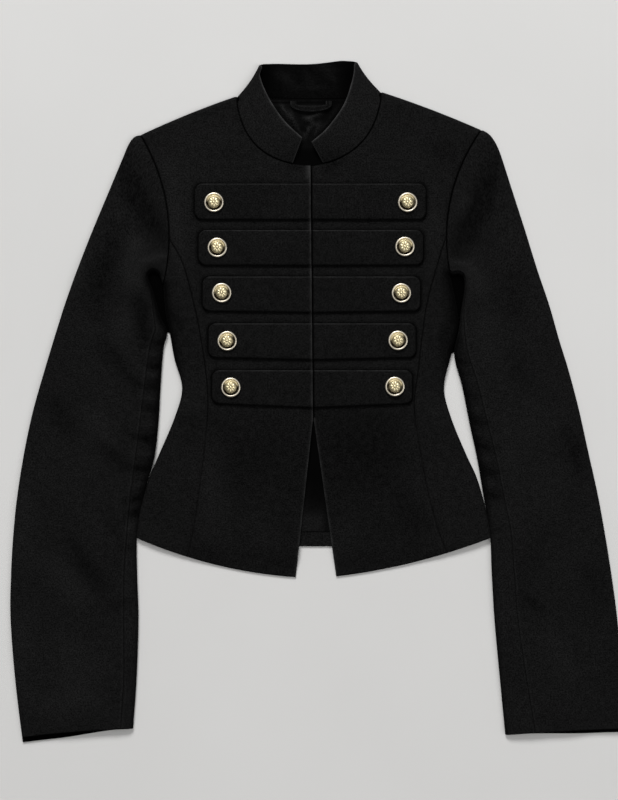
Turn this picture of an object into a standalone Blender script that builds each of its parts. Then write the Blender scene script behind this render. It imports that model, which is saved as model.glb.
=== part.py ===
"""A hussar jacket that lies flat, face up, with its sleeves down at its sides.

Sizes are in millimetres, from the centre front at the waist: x to the wearer's left, y towards the
collar, and z up from the surface that the jacket lies on. Left and right are the wearer's, so the
right side is at -x. An outline is a curve of t, from 0 at its start to 1 at its end.
"""

import math
from collections import namedtuple

import bmesh
import bpy
import numpy as np

MM = 0.001

# Cloth walls and the gaps between layers.
WALL = 2.0
LINING_WALL = 1.0
COLLAR_WALL = 2.2
LOOP_WALL = 1.2
SEAM_GAP = 0.3
ARMHOLE_GAP = 0.6
LAYER_GAP = 0.3
EDGE_Z = WALL + LAYER_GAP

# An upper layer rounds over within this distance of a fold, at these distances in from it.
FOLD_RADIUS = 5.5
FOLD_STEPS = np.array((0.0, 0.5, 1.6, 3.4, 5.5))

# Points closer than this are at the tip of a fold.
TIP_LENGTH = 0.01

# Edges sharper than this are not shaded smooth.
SHARP_DEGREES = 50.0

SIDES = ("right", "left")
OUT = {"right": -1, "left": 1}

# Corners of the body, and how far its curved edges stand off the straight line between them.
Corners = namedtuple("Corners", "neck_side shoulder_tip armpit side_hem front_neck front_waist front_hem")
CORNERS = {
    "right": Corners(
        neck_side=(-81.5, 354.0),
        shoulder_tip=(-187.5, 311.0),
        armpit=(-160.5, 154.0),
        side_hem=(-190.5, -133.0),
        front_neck=(-3.6, 280.0),
        front_waist=(0.4, 0.0),
        front_hem=(-16.5, -172.5),
    ),
    "left": Corners(
        neck_side=(76.0, 357.0),
        shoulder_tip=(185.5, 315.5),
        armpit=(153.5, 157.5),
        side_hem=(194.5, -133.0),
        front_neck=(-2.4, 279.5),
        front_waist=(1.4, 0.0),
        front_hem=(28.5, -171.0),
    ),
}
ARMHOLE_BOW = 17.0
NECK_BOW = 16.5
HEM_BOW = {"right": 8.0, "left": 6.0}
BACK_HEM_BOW = 6.7

# Shares of the armhole where the front seam starts and where the sleeve ends, and of the hem where
# the front seam ends.
SEAM_START = 0.75
SLEEVE_END = 0.93
SEAM_END = {"right": 0.33, "left": 0.29}

# The back fills the notch between sleeve and side: shares of the armhole and of the side fold where
# it starts and ends, its distance from the sleeve, and how many of the sleeve's sections it passes.
NOTCH_START = 0.95
NOTCH_END = 0.22
NOTCH_GAP = 1.1
NOTCH_SECTIONS = 5

# Shares of the back's sides where the armhole ends, the notch starts and ends and the side fold starts,
# and of its top where the neck starts and ends.
ARM_END, NOTCH_FROM, NOTCH_TO, SIDE_FROM = 0.34, 0.37, 0.49, 0.51
NECK_FROM, NECK_TO = 0.3, 0.7

# Shares of a front panel's height where its curved seam starts and where its edge reaches the waist,
# and of its top where the shoulder ends.
SEAM_SHARE = 0.27
WAIST_SHARE = 0.62
SHOULDER_SHARE = 0.5

# About how long a front is and how wide a side panel is, which spaces the rows near their folds.
FRONT_LENGTH = 440.0
SIDE_WIDTH = 45.0

# How many points each stretch of a panel has.
ARM_ROWS, NOTCH_ROWS, SIDE_ROWS = 9, 5, 11
PANEL_COLUMNS = 11
CHEST_ROWS, BODY_ROWS, SKIRT_ROWS = 6, 7, 8
SIDE_COLUMNS = 5
UPPER_COLUMNS = 8
UNDER_COLUMNS = 5
LINING_ROWS = 13
COLLAR_ROWS = 5
LOOP_COLUMNS = 13
OUTLINE_STEPS = 40

# The side folds and the curved front seams: x at each height y.
SideRow = namedtuple("SideRow", "y right left")
SIDE_FOLD = (
    SideRow(98.0, -157.5, 160.0),
    SideRow(68.0, -150.5, 153.5),
    SideRow(35.0, -142.0, 146.5),
    SideRow(2.0, -150.5, 154.5),
    SideRow(-37.0, -167.0, 170.5),
    SideRow(-64.0, -178.0, 181.5),
    SideRow(-99.0, -187.0, 189.5),
)
FRONT_SEAM = (
    SideRow(172.0, -141.0, 139.5),
    SideRow(132.0, -130.0, 128.5),
    SideRow(97.0, -122.5, 123.0),
    SideRow(50.0, -115.5, 117.5),
    SideRow(14.0, -113.5, 113.5),
    SideRow(-33.0, -117.5, 120.0),
    SideRow(-80.0, -123.5, 129.0),
    SideRow(-123.0, -130.0, 140.5),
)

# Height of the outer face of the fronts above the surface, down the body.
Loft = namedtuple("Loft", "y z")
BODY_LOFT = (Loft(-130.0, 5.6), Loft(-60.0, 7.0), Loft(60.0, 7.6), Loft(400.0, 7.6))
LAP_RISE = 0.8
LAP_WIDTH = 14.0
HEM_DROP_RUN = 28.0

# Sleeve sections from the cap to the cuff: the ends of each line across the sleeve, how far it bows
# towards the body, how far the front seam is from the inner edge, and the height of the outer face.
Section = namedtuple("Section", "outer_x outer_y inner_x inner_y bow seam_in loft")
SLEEVE = {
    "right": (
        Section(-208.0, 287.0, -167.0, 164.0, 16.5, 8.0, 7.5),
        Section(-224.5, 247.5, -174.5, 162.0, 10.0, 8.0, 7.2),
        Section(-242.0, 205.5, -174.5, 152.0, 4.5, 8.0, 7.0),
        Section(-258.5, 163.0, -171.0, 131.0, 1.0, 8.0, 7.0),
        Section(-271.5, 126.5, -166.0, 110.0, 0.0, 8.0, 7.0),
        Section(-282.5, 91.5, -162.5, 77.0, 0.0, 10.0, 7.0),
        Section(-293.5, 55.0, -164.5, 37.5, 0.0, 14.0, 7.0),
        Section(-306.0, 11.0, -168.0, -4.5, 0.0, 20.0, 7.0),
        Section(-315.5, -33.0, -172.5, -42.0, 0.0, 20.5, 7.0),
        Section(-323.5, -82.5, -184.5, -80.5, 0.0, 15.0, 7.0),
        Section(-328.0, -126.5, -191.5, -121.0, 0.0, 11.0, 7.0),
        Section(-330.5, -170.5, -191.5, -167.0, 0.0, 14.0, 6.8),
        Section(-331.0, -220.0, -190.0, -218.0, 0.0, 16.0, 6.6),
        Section(-325.5, -290.0, -192.0, -283.0, 0.0, 14.0, 6.0),
        Section(-317.5, -350.0, -196.0, -340.0, 0.0, 13.5, 5.4),
    ),
    "left": (
        Section(207.0, 296.0, 161.0, 164.0, 16.5, 8.0, 7.5),
        Section(221.0, 255.0, 168.5, 157.0, 10.0, 8.0, 7.2),
        Section(235.5, 210.0, 168.5, 146.5, 4.5, 8.0, 7.0),
        Section(249.5, 165.0, 165.5, 123.0, 1.0, 8.0, 7.0),
        Section(262.5, 126.5, 162.0, 99.0, 0.0, 9.0, 7.0),
        Section(273.5, 88.0, 162.0, 69.5, 0.0, 12.0, 7.0),
        Section(284.0, 54.0, 167.0, 37.5, 0.0, 16.0, 7.0),
        Section(295.0, 12.0, 174.5, -3.5, 0.0, 19.0, 7.0),
        Section(305.0, -33.0, 183.0, -43.0, 0.0, 20.5, 7.0),
        Section(316.0, -82.5, 191.0, -82.5, 0.0, 22.0, 7.0),
        Section(324.0, -126.5, 197.0, -123.0, 0.0, 23.0, 7.0),
        Section(331.0, -170.5, 199.0, -169.5, 0.0, 24.5, 6.8),
        Section(337.5, -220.0, 202.0, -220.0, 0.0, 25.5, 6.6),
        Section(343.5, -285.0, 208.0, -285.0, 0.0, 29.0, 6.0),
        Section(345.5, -340.0, 214.0, -347.5, 0.0, 33.0, 5.4),
    ),
}
CAP_LOFT = 7.6
CAP_SEAM_IN = 8.0

# The largest folds of the sleeves: soft troughs and ridges between two points.
Fold = namedtuple("Fold", "from_x from_y to_x to_y half_width height")
SLEEVE_FOLDS = {
    "right": (
        Fold(-179.5, 262.0, -166.0, 205.0, 13.0, -1.5),
        Fold(-160.0, 186.0, -198.0, 152.0, 10.0, 0.5),
        Fold(-234.0, 140.0, -207.0, 226.0, 14.0, -0.8),
        Fold(-270.0, -118.0, -214.0, -205.0, 15.0, -1.3),
    ),
    "left": (
        Fold(184.0, 280.0, 160.0, 190.0, 12.0, -1.4),
        Fold(155.0, 170.0, 193.0, 147.0, 10.0, 0.5),
        Fold(228.0, 150.0, 214.0, 215.0, 14.0, -0.8),
        Fold(214.0, -190.0, 262.0, -110.0, 15.0, -1.0),
    ),
}

# The collar band. Each front half has a row for each place along the neckline, from the front end:
# its share of the neckline, and the point of the top edge that belongs to it. The band folds flat at
# the sides of the neck, where the fold goes from the seam to the top edge.
CollarRow = namedtuple("CollarRow", "share top_x top_y top_z")
COLLAR_FRONT = {
    "right": (
        CollarRow(0.86, -10.5, 298.5, 11.0),
        CollarRow(0.60, -26.5, 325.5, 13.0),
        CollarRow(0.36, -39.5, 347.5, 13.0),
        CollarRow(0.18, -48.0, 367.0, 11.0),
        CollarRow(0.06, -51.5, 381.0, 9.0),
    ),
    "left": (
        CollarRow(0.86, -1.0, 298.0, 11.0),
        CollarRow(0.60, 17.5, 320.0, 13.0),
        CollarRow(0.36, 33.0, 345.5, 13.0),
        CollarRow(0.18, 43.0, 369.0, 11.0),
        CollarRow(0.06, 47.0, 385.0, 9.0),
    ),
}
CollarFold = namedtuple("CollarFold", "seam_x seam_y top_x top_y")
COLLAR_FOLD = {
    "right": CollarFold(-79.5, 357.3, -55.0, 389.5),
    "left": CollarFold(74.5, 359.8, 51.0, 394.5),
}
CollarBack = namedtuple("CollarBack", "seam_x seam_y top_x top_y")
COLLAR_BACK = (
    CollarBack(-45.0, 355.4, -33.0, 389.5),
    CollarBack(0.0, 356.2, 0.0, 390.5),
    CollarBack(43.0, 357.2, 30.0, 393.5),
)
COLLAR_INSET = 1.2
COLLAR_SEAM_Z = 8.0
COLLAR_FOLD_RADIUS = 4.0
COLLAR_FOLD_TURN = (90.0, 50.0, 15.0, -15.0, -50.0, -90.0)
COLLAR_BULGE = 0.8

# The lining inside the back: its side edges, and its hem above the back's own hem.
LINING_SIDE = (
    SideRow(351.0, -73.0, 69.0),
    SideRow(260.0, -112.0, 108.0),
    SideRow(168.0, -138.0, 136.0),
    SideRow(100.0, -140.0, 140.0),
    SideRow(35.0, -128.0, 131.0),
    SideRow(-37.0, -150.0, 153.0),
    SideRow(-113.0, -174.0, 177.0),
)

# The loop at the back of the neck, a half ellipse of flat band.
LOOP_CENTRE_Y = 349.5
LOOP_HALF_SPAN = 19.5
LOOP_DEPTH = 8.0
LOOP_WIDTH = 8.0

# Tabs across the front, from the top: where the outer ends are, the upper and lower edges, how much
# the lower edge rises towards the outer end, and the buttons on them.
Tab = namedtuple("Tab", "outer_right outer_left top bottom rise")
TABS = (
    Tab(-127.5, 126.0, 259.5, 220.5, 0.0),
    Tab(-123.5, 123.0, 208.5, 170.0, 0.5),
    Tab(-119.0, 120.0, 157.5, 118.5, 1.5),
    Tab(-112.5, 115.0, 106.0, 66.5, 2.5),
    Tab(-108.5, 111.0, 54.5, 14.0, 4.5),
)
TAB_CORNER = 8.0
TabRing = namedtuple("TabRing", "inset z")
TAB_RINGS = (
    TabRing(0.9, 0.0),
    TabRing(0.0, 0.7),
    TabRing(0.1, 1.6),
    TabRing(0.9, 2.3),
    TabRing(3.0, 2.6),
)
BUTTON_INSET = 19.5
ButtonRing = namedtuple("ButtonRing", "radius z")
BUTTON_PROFILE = (
    ButtonRing(0.0, 6.4),
    ButtonRing(4.0, 5.8),
    ButtonRing(6.6, 4.4),
    ButtonRing(7.9, 2.6),
    ButtonRing(8.7, 2.6),
    ButtonRing(9.6, 3.5),
    ButtonRing(10.6, 3.0),
    ButtonRing(11.0, 1.6),
    ButtonRing(9.5, 0.0),
    ButtonRing(0.0, 0.0),
)
BUTTON_SIDES = 16

CLOTH = ("wool_cloth", (0.012, 0.012, 0.013, 1.0), 0.9, 0.0)
LINING = ("lining_satin", (0.008, 0.008, 0.009, 1.0), 0.55, 0.0)
BRASS = ("brass", (0.80, 0.58, 0.25, 1.0), 0.3, 1.0)


def arc(start, end, bow=0.0):
    """A shallow arc whose middle stands off its chord by bow, to the left of the way it runs."""
    start = np.array(start)
    chord = np.array(end) - start
    left = np.array((-chord[1], chord[0])) / np.hypot(*chord)

    def curve(t):
        t = np.asarray(t)[..., None]
        return start + chord * t + left * (4.0 * bow * t * (1.0 - t))

    return curve


def smoothed(rows, steps):
    """Rows of a table with smooth rows between them, so many steps from each to the next."""
    rows = np.array(rows, float)
    ends = np.vstack((2 * rows[0] - rows[1], rows, 2 * rows[-1] - rows[-2]))
    t = np.linspace(0.0, 1.0, steps, endpoint=False)[:, None]
    stretches = []
    for before, start, end, after in zip(ends, ends[1:], ends[2:], ends[3:]):
        bend = 2 * before - 5 * start + 4 * end - after
        twist = 3 * start - before - 3 * end + after
        stretches.append(start + 0.5 * ((end - before) * t + bend * t**2 + twist * t**3))
    return np.vstack(stretches + [rows[-1:]])


def through(points):
    """A smooth curve through the points, walked at an even pace."""
    fine = smoothed(points, 12)
    walked = np.concatenate(([0.0], np.cumsum(np.linalg.norm(np.diff(fine, axis=0), axis=1))))

    def curve(t):
        at = np.asarray(t) * walked[-1]
        return np.stack([np.interp(at, walked, column) for column in fine.T], axis=-1)

    return curve


def part_of(curve, start, end):
    """The stretch of a curve from one share of it to another."""
    return lambda t: curve(start + (end - start) * np.asarray(t))


def chain(*pieces):
    """Curves walked one after another, each given with the share of the whole where it ends."""

    def curve(t):
        t = np.asarray(t)
        points = np.empty(t.shape + (2,))
        begin = 0.0
        for end, piece in pieces:
            inside = (t >= begin) & (t <= end)
            points[inside] = piece((t[inside] - begin) / (end - begin))
            begin = end
        return points

    return curve


def patch(top, bottom, left, right, across, down):
    """A grid of points between four edges: rows from top to bottom, columns from left to right."""
    u = across[None, :, None]
    v = down[:, None, None]
    upper, lower = top(across)[None], bottom(across)[None]
    near, far = left(down)[:, None], right(down)[:, None]
    ruled = (1 - v) * upper + v * lower + (1 - u) * near + u * far
    upper_corners = (1 - v) * ((1 - u) * upper[:, :1] + u * upper[:, -1:])
    lower_corners = v * ((1 - u) * lower[:, :1] + u * lower[:, -1:])
    return ruled - upper_corners - lower_corners


def stations(length, *stops):
    """Shares from 0 to 1 that are close together at a fold, then even between (end, count) stops."""
    shares = list(FOLD_STEPS / length)
    for end, count in stops:
        shares.extend(np.linspace(shares[-1], end, count + 1)[1:])
    return np.array(shares)


def distance(points, line):
    """Distance from each point to a line through a list of points."""
    start, step = line[:-1], np.diff(line, axis=0)
    offset = points[..., None, :] - start
    t = np.clip((offset * step).sum(-1) / (step**2).sum(-1), 0.0, 1.0)
    return np.linalg.norm(offset - t[..., None] * step, axis=-1).min(-1)


def rounded(inset, radius):
    """Rise of a rounded edge, from 0 at the fold to 1 at its radius."""
    short = 1.0 - np.clip(inset / radius, 0.0, 1.0)
    return np.sqrt(1.0 - short**2)


def eased(t):
    """A smooth step from 0 to 1."""
    t = np.clip(t, 0.0, 1.0)
    return t * t * (3.0 - 2.0 * t)


def folds_at(points, folds):
    """Sum of the folds' heights at each point."""
    total = np.zeros(points.shape[:-1])
    for fold in folds:
        line = np.array(((fold.from_x, fold.from_y), (fold.to_x, fold.to_y)))
        total += fold.height * np.exp(-((distance(points, line) / fold.half_width) ** 2))
    return total


def with_height(points, z):
    """Points in the plane lifted to a height each."""
    return np.concatenate((points, np.broadcast_to(z, points.shape[:-1])[..., None]), axis=-1)


def inner_face(outer, thickness, lowest, cut_edges):
    """The other face of a wall, no lower than the layer under it. The cut edges are square to the plane."""
    normal = np.cross(np.gradient(outer, axis=0), np.gradient(outer, axis=1))
    normal /= np.linalg.norm(normal, axis=-1, keepdims=True)
    shift = -thickness * normal
    for edge in cut_edges:
        along = np.gradient(outer[edge][:, :2], axis=0)
        tip_of_fold = np.linalg.norm(along, axis=-1) < TIP_LENGTH
        along[tip_of_fold] = np.roll(along, 1, axis=0)[tip_of_fold]
        along /= np.linalg.norm(along, axis=-1, keepdims=True)
        shift[edge][:, :2] = (shift[edge][:, :2] * along).sum(-1, keepdims=True) * along
    inner = outer + shift
    inner[..., 2] = np.maximum(inner[..., 2], lowest)
    return inner


# The edges of a grid of points.
TOP_EDGE, BOTTOM_EDGE = np.s_[0, :], np.s_[-1, :]
FIRST_EDGE, LAST_EDGE = np.s_[:, 0], np.s_[:, -1]


# Outlines of the body.


def armhole(side):
    corners = CORNERS[side]
    return arc(corners.shoulder_tip, corners.armpit, -OUT[side] * ARMHOLE_BOW)


def neckline(side):
    corners = CORNERS[side]
    return arc(corners.neck_side, corners.front_neck, OUT[side] * NECK_BOW)


def hem(side):
    corners = CORNERS[side]
    return arc(corners.side_hem, corners.front_hem, OUT[side] * HEM_BOW[side])


def shoulder(side):
    corners = CORNERS[side]
    return arc(corners.shoulder_tip, corners.neck_side)


def side_fold(side):
    rows = [(getattr(row, side), row.y) for row in SIDE_FOLD]
    return through([CORNERS[side].armpit] + rows + [CORNERS[side].side_hem])


def front_seam(side):
    rows = [(getattr(row, side), row.y) for row in FRONT_SEAM]
    return through([armhole(side)(SEAM_START)] + rows + [hem(side)(SEAM_END[side])])


def front_edge(side):
    corners = CORNERS[side]
    upper = arc(corners.front_neck, corners.front_waist)
    lower = arc(corners.front_waist, corners.front_hem)
    return chain((WAIST_SHARE, upper), (1.0, lower))


def back_hem_y(x):
    """Height of the back's hem at x, across the body."""
    right, left = CORNERS["right"].side_hem, CORNERS["left"].side_hem
    t = (x - right[0]) / (left[0] - right[0])
    return right[1] - 4.0 * BACK_HEM_BOW * t * (1.0 - t)


def front_height(side, points):
    """Height of the fronts' outer face at points of the plane."""
    along = np.linspace(0.0, 1.0, OUTLINE_STEPS)
    to_shoulder = distance(points, shoulder(side)(along))
    to_side = distance(points, side_fold(side)(along))
    level = np.interp(points[..., 1], [row.y for row in BODY_LOFT], [row.z for row in BODY_LOFT])
    if side == "right":
        level = level + LAP_RISE * eased(1.0 - distance(points, front_edge(side)(along)) / LAP_WIDTH)
    past_hem = eased((back_hem_y(points[..., 0]) - points[..., 1]) / HEM_DROP_RUN)
    level = level + (EDGE_Z - level) * past_hem
    return EDGE_Z + (level - EDGE_Z) * rounded(np.minimum(to_shoulder, to_side), FOLD_RADIUS)


def front_wall(side, points, cut_edges):
    """Outer and inner faces of a piece of the front, over the back and past its hem."""
    outer = with_height(points, front_height(side, points))
    over_back = points[..., 1] > back_hem_y(points[..., 0]) - 1.0
    return outer, inner_face(outer, WALL, np.where(over_back, EDGE_Z, LAYER_GAP), cut_edges)


# Meshes and objects.


def mesh_object(name, bm, material):
    """Closes off a bmesh as a named object in millimetre sizes, shaded smooth between sharp edges."""
    bmesh.ops.recalc_face_normals(bm, faces=bm.faces)
    bmesh.ops.scale(bm, vec=(MM, MM, MM), verts=bm.verts)
    mesh = bpy.data.meshes.new(name)
    bm.to_mesh(mesh)
    bm.free()
    return shaded_object(name, mesh, material)


def shaded_object(name, mesh, material):
    mesh.shade_smooth()
    mesh.set_sharp_from_angle(angle=math.radians(SHARP_DEGREES))
    if not mesh.materials:
        mesh.materials.append(material)
    obj = bpy.data.objects.new(name, mesh)
    bpy.context.collection.objects.link(obj)
    return obj


def wall_object(name, outer, inner, material):
    """A closed wall between two grids of points."""
    rows, columns = outer.shape[:2]
    bm = bmesh.new()
    faces = [[[bm.verts.new(p) for p in row] for row in grid] for grid in (outer, inner)]
    for i in range(rows - 1):
        for j in range(columns - 1):
            for grid in faces:
                bm.faces.new((grid[i][j], grid[i + 1][j], grid[i + 1][j + 1], grid[i][j + 1]))
    rim = [(0, j) for j in range(columns)] + [(i, columns - 1) for i in range(1, rows)]
    rim += [(rows - 1, j) for j in range(columns - 2, -1, -1)] + [(i, 0) for i in range(rows - 2, 0, -1)]
    for (i, j), (k, m) in zip(rim, rim[1:] + rim[:1]):
        bm.faces.new((faces[0][i][j], faces[0][k][m], faces[1][k][m], faces[1][i][j]))
    return mesh_object(name, bm, material)


def ring_object(name, rings, material):
    """A closed solid through rings of points, with a flat cap at each end."""
    bm = bmesh.new()
    loops = [[bm.verts.new(p) for p in ring] for ring in rings]
    for low, high in zip(loops, loops[1:]):
        for k in range(len(low)):
            after = (k + 1) % len(low)
            bm.faces.new((low[k], low[after], high[after], high[k]))
    bm.faces.new(loops[0])
    bm.faces.new(loops[-1])
    return mesh_object(name, bm, material)


def plain_material(name, colour, roughness, metallic):
    material = bpy.data.materials.new(name)
    material.use_nodes = True
    shader = material.node_tree.nodes["Principled BSDF"]
    shader.inputs["Base Color"].default_value = colour
    shader.inputs["Roughness"].default_value = roughness
    shader.inputs["Metallic"].default_value = metallic
    return material


# Pieces of the body.


def make_back(cloth):
    """The back, with the underarm cloth that fills the notch between sleeve and side."""
    edges = {}
    for side in SIDES:
        clear = -OUT[side] * NOTCH_GAP
        notch = [(row.inner_x + clear, row.inner_y) for row in SLEEVE[side][:NOTCH_SECTIONS]]
        notch[0] = (notch[0][0], notch[0][1] - 2 * NOTCH_GAP)
        arm = part_of(armhole(side), 0.0, NOTCH_START)
        lower = part_of(side_fold(side), NOTCH_END, 1.0)
        edges[side] = chain(
            (ARM_END, arm),
            (NOTCH_FROM, arc(arm(1.0), notch[0])),
            (NOTCH_TO, through(notch)),
            (SIDE_FROM, arc(notch[-1], lower(0.0))),
            (1.0, lower),
        )
    neck_right, neck_left = CORNERS["right"].neck_side, CORNERS["left"].neck_side
    top = chain(
        (NECK_FROM, shoulder("right")),
        (NECK_TO, arc(neck_right, neck_left)),
        (1.0, part_of(shoulder("left"), 1.0, 0.0)),
    )
    bottom = arc(CORNERS["right"].side_hem, CORNERS["left"].side_hem, -BACK_HEM_BOW)
    down = np.concatenate((
        np.linspace(0.0, ARM_END, ARM_ROWS),
        np.linspace(NOTCH_FROM, NOTCH_TO, NOTCH_ROWS),
        np.linspace(SIDE_FROM, 1.0, SIDE_ROWS),
    ))
    across = np.linspace(0.0, 1.0, PANEL_COLUMNS)
    points = patch(top, bottom, edges["right"], edges["left"], across, down)
    return wall_object("back", with_height(points, WALL), with_height(points, 0.0), cloth)


def make_lining(satin):
    edges = {side: through([(getattr(row, side), row.y) for row in LINING_SIDE]) for side in SIDES}
    top = arc(edges["right"](0.0), edges["left"](0.0))
    bottom = arc(edges["right"](1.0), edges["left"](1.0), -BACK_HEM_BOW)
    even = np.linspace(0.0, 1.0, LINING_ROWS)
    points = patch(top, bottom, edges["right"], edges["left"], even[::2], even)
    upper = with_height(points, EDGE_Z + LINING_WALL)
    return wall_object("back_lining", upper, with_height(points, EDGE_Z), satin)


def make_front(side, cloth):
    """A centre front panel: shoulder and neckline above, hem below, from the front seam to the edge."""
    top = chain((SHOULDER_SHARE, shoulder(side)), (1.0, neckline(side)))
    bottom = part_of(hem(side), SEAM_END[side], 1.0)
    arm = part_of(armhole(side), 0.0, SEAM_START)
    outer_edge = chain((SEAM_SHARE, arm), (1.0, front_seam(side)))
    across = np.linspace(0.0, 1.0, PANEL_COLUMNS)
    down = stations(FRONT_LENGTH, (SEAM_SHARE, CHEST_ROWS), (WAIST_SHARE, BODY_ROWS), (1.0, SKIRT_ROWS))
    points = patch(top, bottom, outer_edge, front_edge(side), across, down)
    if side == "left":
        points = points[:, ::-1]
    return wall_object(f"front_{side}", *front_wall(side, points, (FIRST_EDGE, LAST_EDGE)), cloth)


def make_side_front(side, cloth):
    """A side panel between the side fold and the front seam, under the armhole."""
    gap = np.array((OUT[side] * SEAM_GAP, 0.0))
    seam = front_seam(side)
    arm = part_of(armhole(side), SEAM_START, 1.0)
    lower = part_of(hem(side), 0.0, SEAM_END[side])
    shares = stations(SIDE_WIDTH, (1.0, SIDE_COLUMNS))
    body = np.linspace(SEAM_SHARE, WAIST_SHARE, BODY_ROWS + 1)
    skirt = np.linspace(WAIST_SHARE, 1.0, SKIRT_ROWS + 1)
    down = (np.concatenate((body, skirt[1:])) - SEAM_SHARE) / (1.0 - SEAM_SHARE)
    points = patch(part_of(arm, 1.0, 0.0), lower, side_fold(side), seam, shares, down)
    points = points + gap * shares[None, :, None]
    cut_edges = (TOP_EDGE, LAST_EDGE)
    if side == "left":
        points = points[:, ::-1]
        cut_edges = (TOP_EDGE, FIRST_EDGE)
    return wall_object(f"side_front_{side}", *front_wall(side, points, cut_edges), cloth)


# Sleeves.


def sleeve_rows(side):
    """Sections of a sleeve, smoothed between those of the table, starting at the armhole."""
    gap = np.array((OUT[side] * ARMHOLE_GAP, 0.0))
    outer, inner = armhole(side)(np.array((0.0, SLEEVE_END))) + gap
    cap = Section(*outer, *inner, ARMHOLE_BOW * SLEEVE_END**2, CAP_SEAM_IN, CAP_LOFT)
    return [Section(*row) for row in smoothed((cap,) + SLEEVE[side], 2)]


def sleeve_line(side, row, first):
    """The line across a sleeve at one section. The first one follows the armhole."""
    if first:
        shift = np.array((OUT[side] * ARMHOLE_GAP, 0.0))
        arm = part_of(armhole(side), 0.0, SLEEVE_END)
        return lambda t: arm(t) + shift
    return arc((row.outer_x, row.outer_y), (row.inner_x, row.inner_y), -OUT[side] * row.bow)


def sleeve_section(side, row, first):
    """The line across, its length and the height of the outer face along it."""
    line = sleeve_line(side, row, first)
    width = math.hypot(row.outer_x - row.inner_x, row.outer_y - row.inner_y)

    def level(points):
        return row.loft + folds_at(points, SLEEVE_FOLDS[side])

    return line, width, level


def make_sleeve_upper(side, cloth):
    """The upper sleeve: from the fold at the outer edge over to the front seam."""
    grid = []
    for index, row in enumerate(sleeve_rows(side)):
        line, width, level = sleeve_section(side, row, index == 0)
        end = width - row.seam_in - SEAM_GAP / 2
        insets = np.concatenate((FOLD_STEPS, np.linspace(FOLD_STEPS[-1], end, UPPER_COLUMNS)[1:]))
        points = line(insets / width)
        z = EDGE_Z + (level(points) - EDGE_Z) * rounded(insets, FOLD_RADIUS)
        grid.append(with_height(points, z))
    outer, cut_edges = np.array(grid), (TOP_EDGE, BOTTOM_EDGE, LAST_EDGE)
    if side == "left":
        outer, cut_edges = outer[:, ::-1], (TOP_EDGE, BOTTOM_EDGE, FIRST_EDGE)
    inner = inner_face(outer, WALL, EDGE_Z, cut_edges)
    return wall_object(f"sleeve_upper_{side}", outer, inner, cloth)


def make_sleeve_under(side, cloth):
    """The under sleeve: from the front seam round the fold of the inner edge, then flat below."""
    grid = []
    for index, row in enumerate(sleeve_rows(side)):
        line, width, level = sleeve_section(side, row, index == 0)
        start = row.seam_in - SEAM_GAP / 2
        over = np.concatenate(((start,), FOLD_STEPS[::-1]))
        flat = np.linspace(FOLD_STEPS[-1], width, UNDER_COLUMNS)
        under = np.concatenate((FOLD_STEPS[1:], flat[1:]))
        upper = line(1.0 - over / width)
        middle = row.loft / 2
        upper_z = middle + (level(upper) - middle) * rounded(over, FOLD_RADIUS)
        under_z = middle * (1.0 - rounded(under, FOLD_RADIUS))
        lower = line(1.0 - under / width)
        grid.append(np.vstack((with_height(upper, upper_z), with_height(lower, under_z))))
    outer = np.array(grid)
    if side == "left":
        outer = outer[:, ::-1]
    cut_edges = (TOP_EDGE, BOTTOM_EDGE, FIRST_EDGE, LAST_EDGE)
    return wall_object(f"sleeve_under_{side}", outer, inner_face(outer, WALL, 0.0, cut_edges), cloth)


# Collar and loop.


def collar_front_rows(side):
    """Seam and top points of a front half, from its front end to the fold."""
    rows = []
    for share, *top in smoothed(COLLAR_FRONT[side], 2):
        seam = neckline(side)(share)
        to_top = np.array(top[:2]) - seam
        seam = seam + to_top * COLLAR_INSET / np.hypot(*to_top)
        rows.append((*seam, COLLAR_SEAM_Z, *top))
    return rows


def collar_fold_rows(side):
    """Seam and top points round the fold at the side of the neck, from front to back."""
    fold = COLLAR_FOLD[side]
    seam, top = np.array((fold.seam_x, fold.seam_y)), np.array((fold.top_x, fold.top_y))
    along = (top - seam) / np.hypot(*(top - seam))
    outward = np.array((OUT[side] * along[1], -OUT[side] * along[0]))
    rows = []
    for angle in np.radians(COLLAR_FOLD_TURN):
        shift = outward * COLLAR_FOLD_RADIUS * (math.cos(angle) - 1.0)
        z = COLLAR_FOLD_RADIUS * (1.0 + math.sin(angle))
        rows.append((*(seam + shift), z, *(top + shift), z))
    return rows


def make_collar(cloth):
    """One band from the right front end round the back of the neck to the left front end."""
    back = [(row.seam_x, row.seam_y, 0.0, row.top_x, row.top_y, 0.0) for row in COLLAR_BACK]
    rows = collar_front_rows("right") + collar_fold_rows("right") + back
    rows += collar_fold_rows("left")[::-1] + collar_front_rows("left")[::-1]
    rows = np.array(rows)
    up = np.linspace(0.0, 1.0, COLLAR_ROWS)[:, None, None]
    outer = rows[None, :, :3] * (1.0 - up) + rows[None, :, 3:] * up
    standing = np.clip(rows[None, :, 2] / COLLAR_SEAM_Z, 0.0, 1.0)
    outer[..., 2] += COLLAR_BULGE * standing * np.sin(math.pi * up[..., 0])
    return wall_object("collar", outer, inner_face(outer, COLLAR_WALL, 0.0, ()), cloth)


def make_loop(cloth):
    """A flat band in a half ellipse, on the lining just under the collar."""
    angle = np.linspace(math.pi, 2.0 * math.pi, LOOP_COLUMNS)[None, :]
    side = np.linspace(0.5, -0.5, 3)[:, None] * LOOP_WIDTH
    x = (LOOP_HALF_SPAN + side) * np.cos(angle)
    y = LOOP_CENTRE_Y + (LOOP_DEPTH + side) * np.sin(angle)
    points = np.stack((x, y), axis=-1)
    floor = EDGE_Z + LINING_WALL + LAYER_GAP
    upper, lower = with_height(points, floor + LOOP_WALL), with_height(points, floor)
    return wall_object("hanger_loop", upper, lower, cloth)


# Tabs and buttons.


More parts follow.
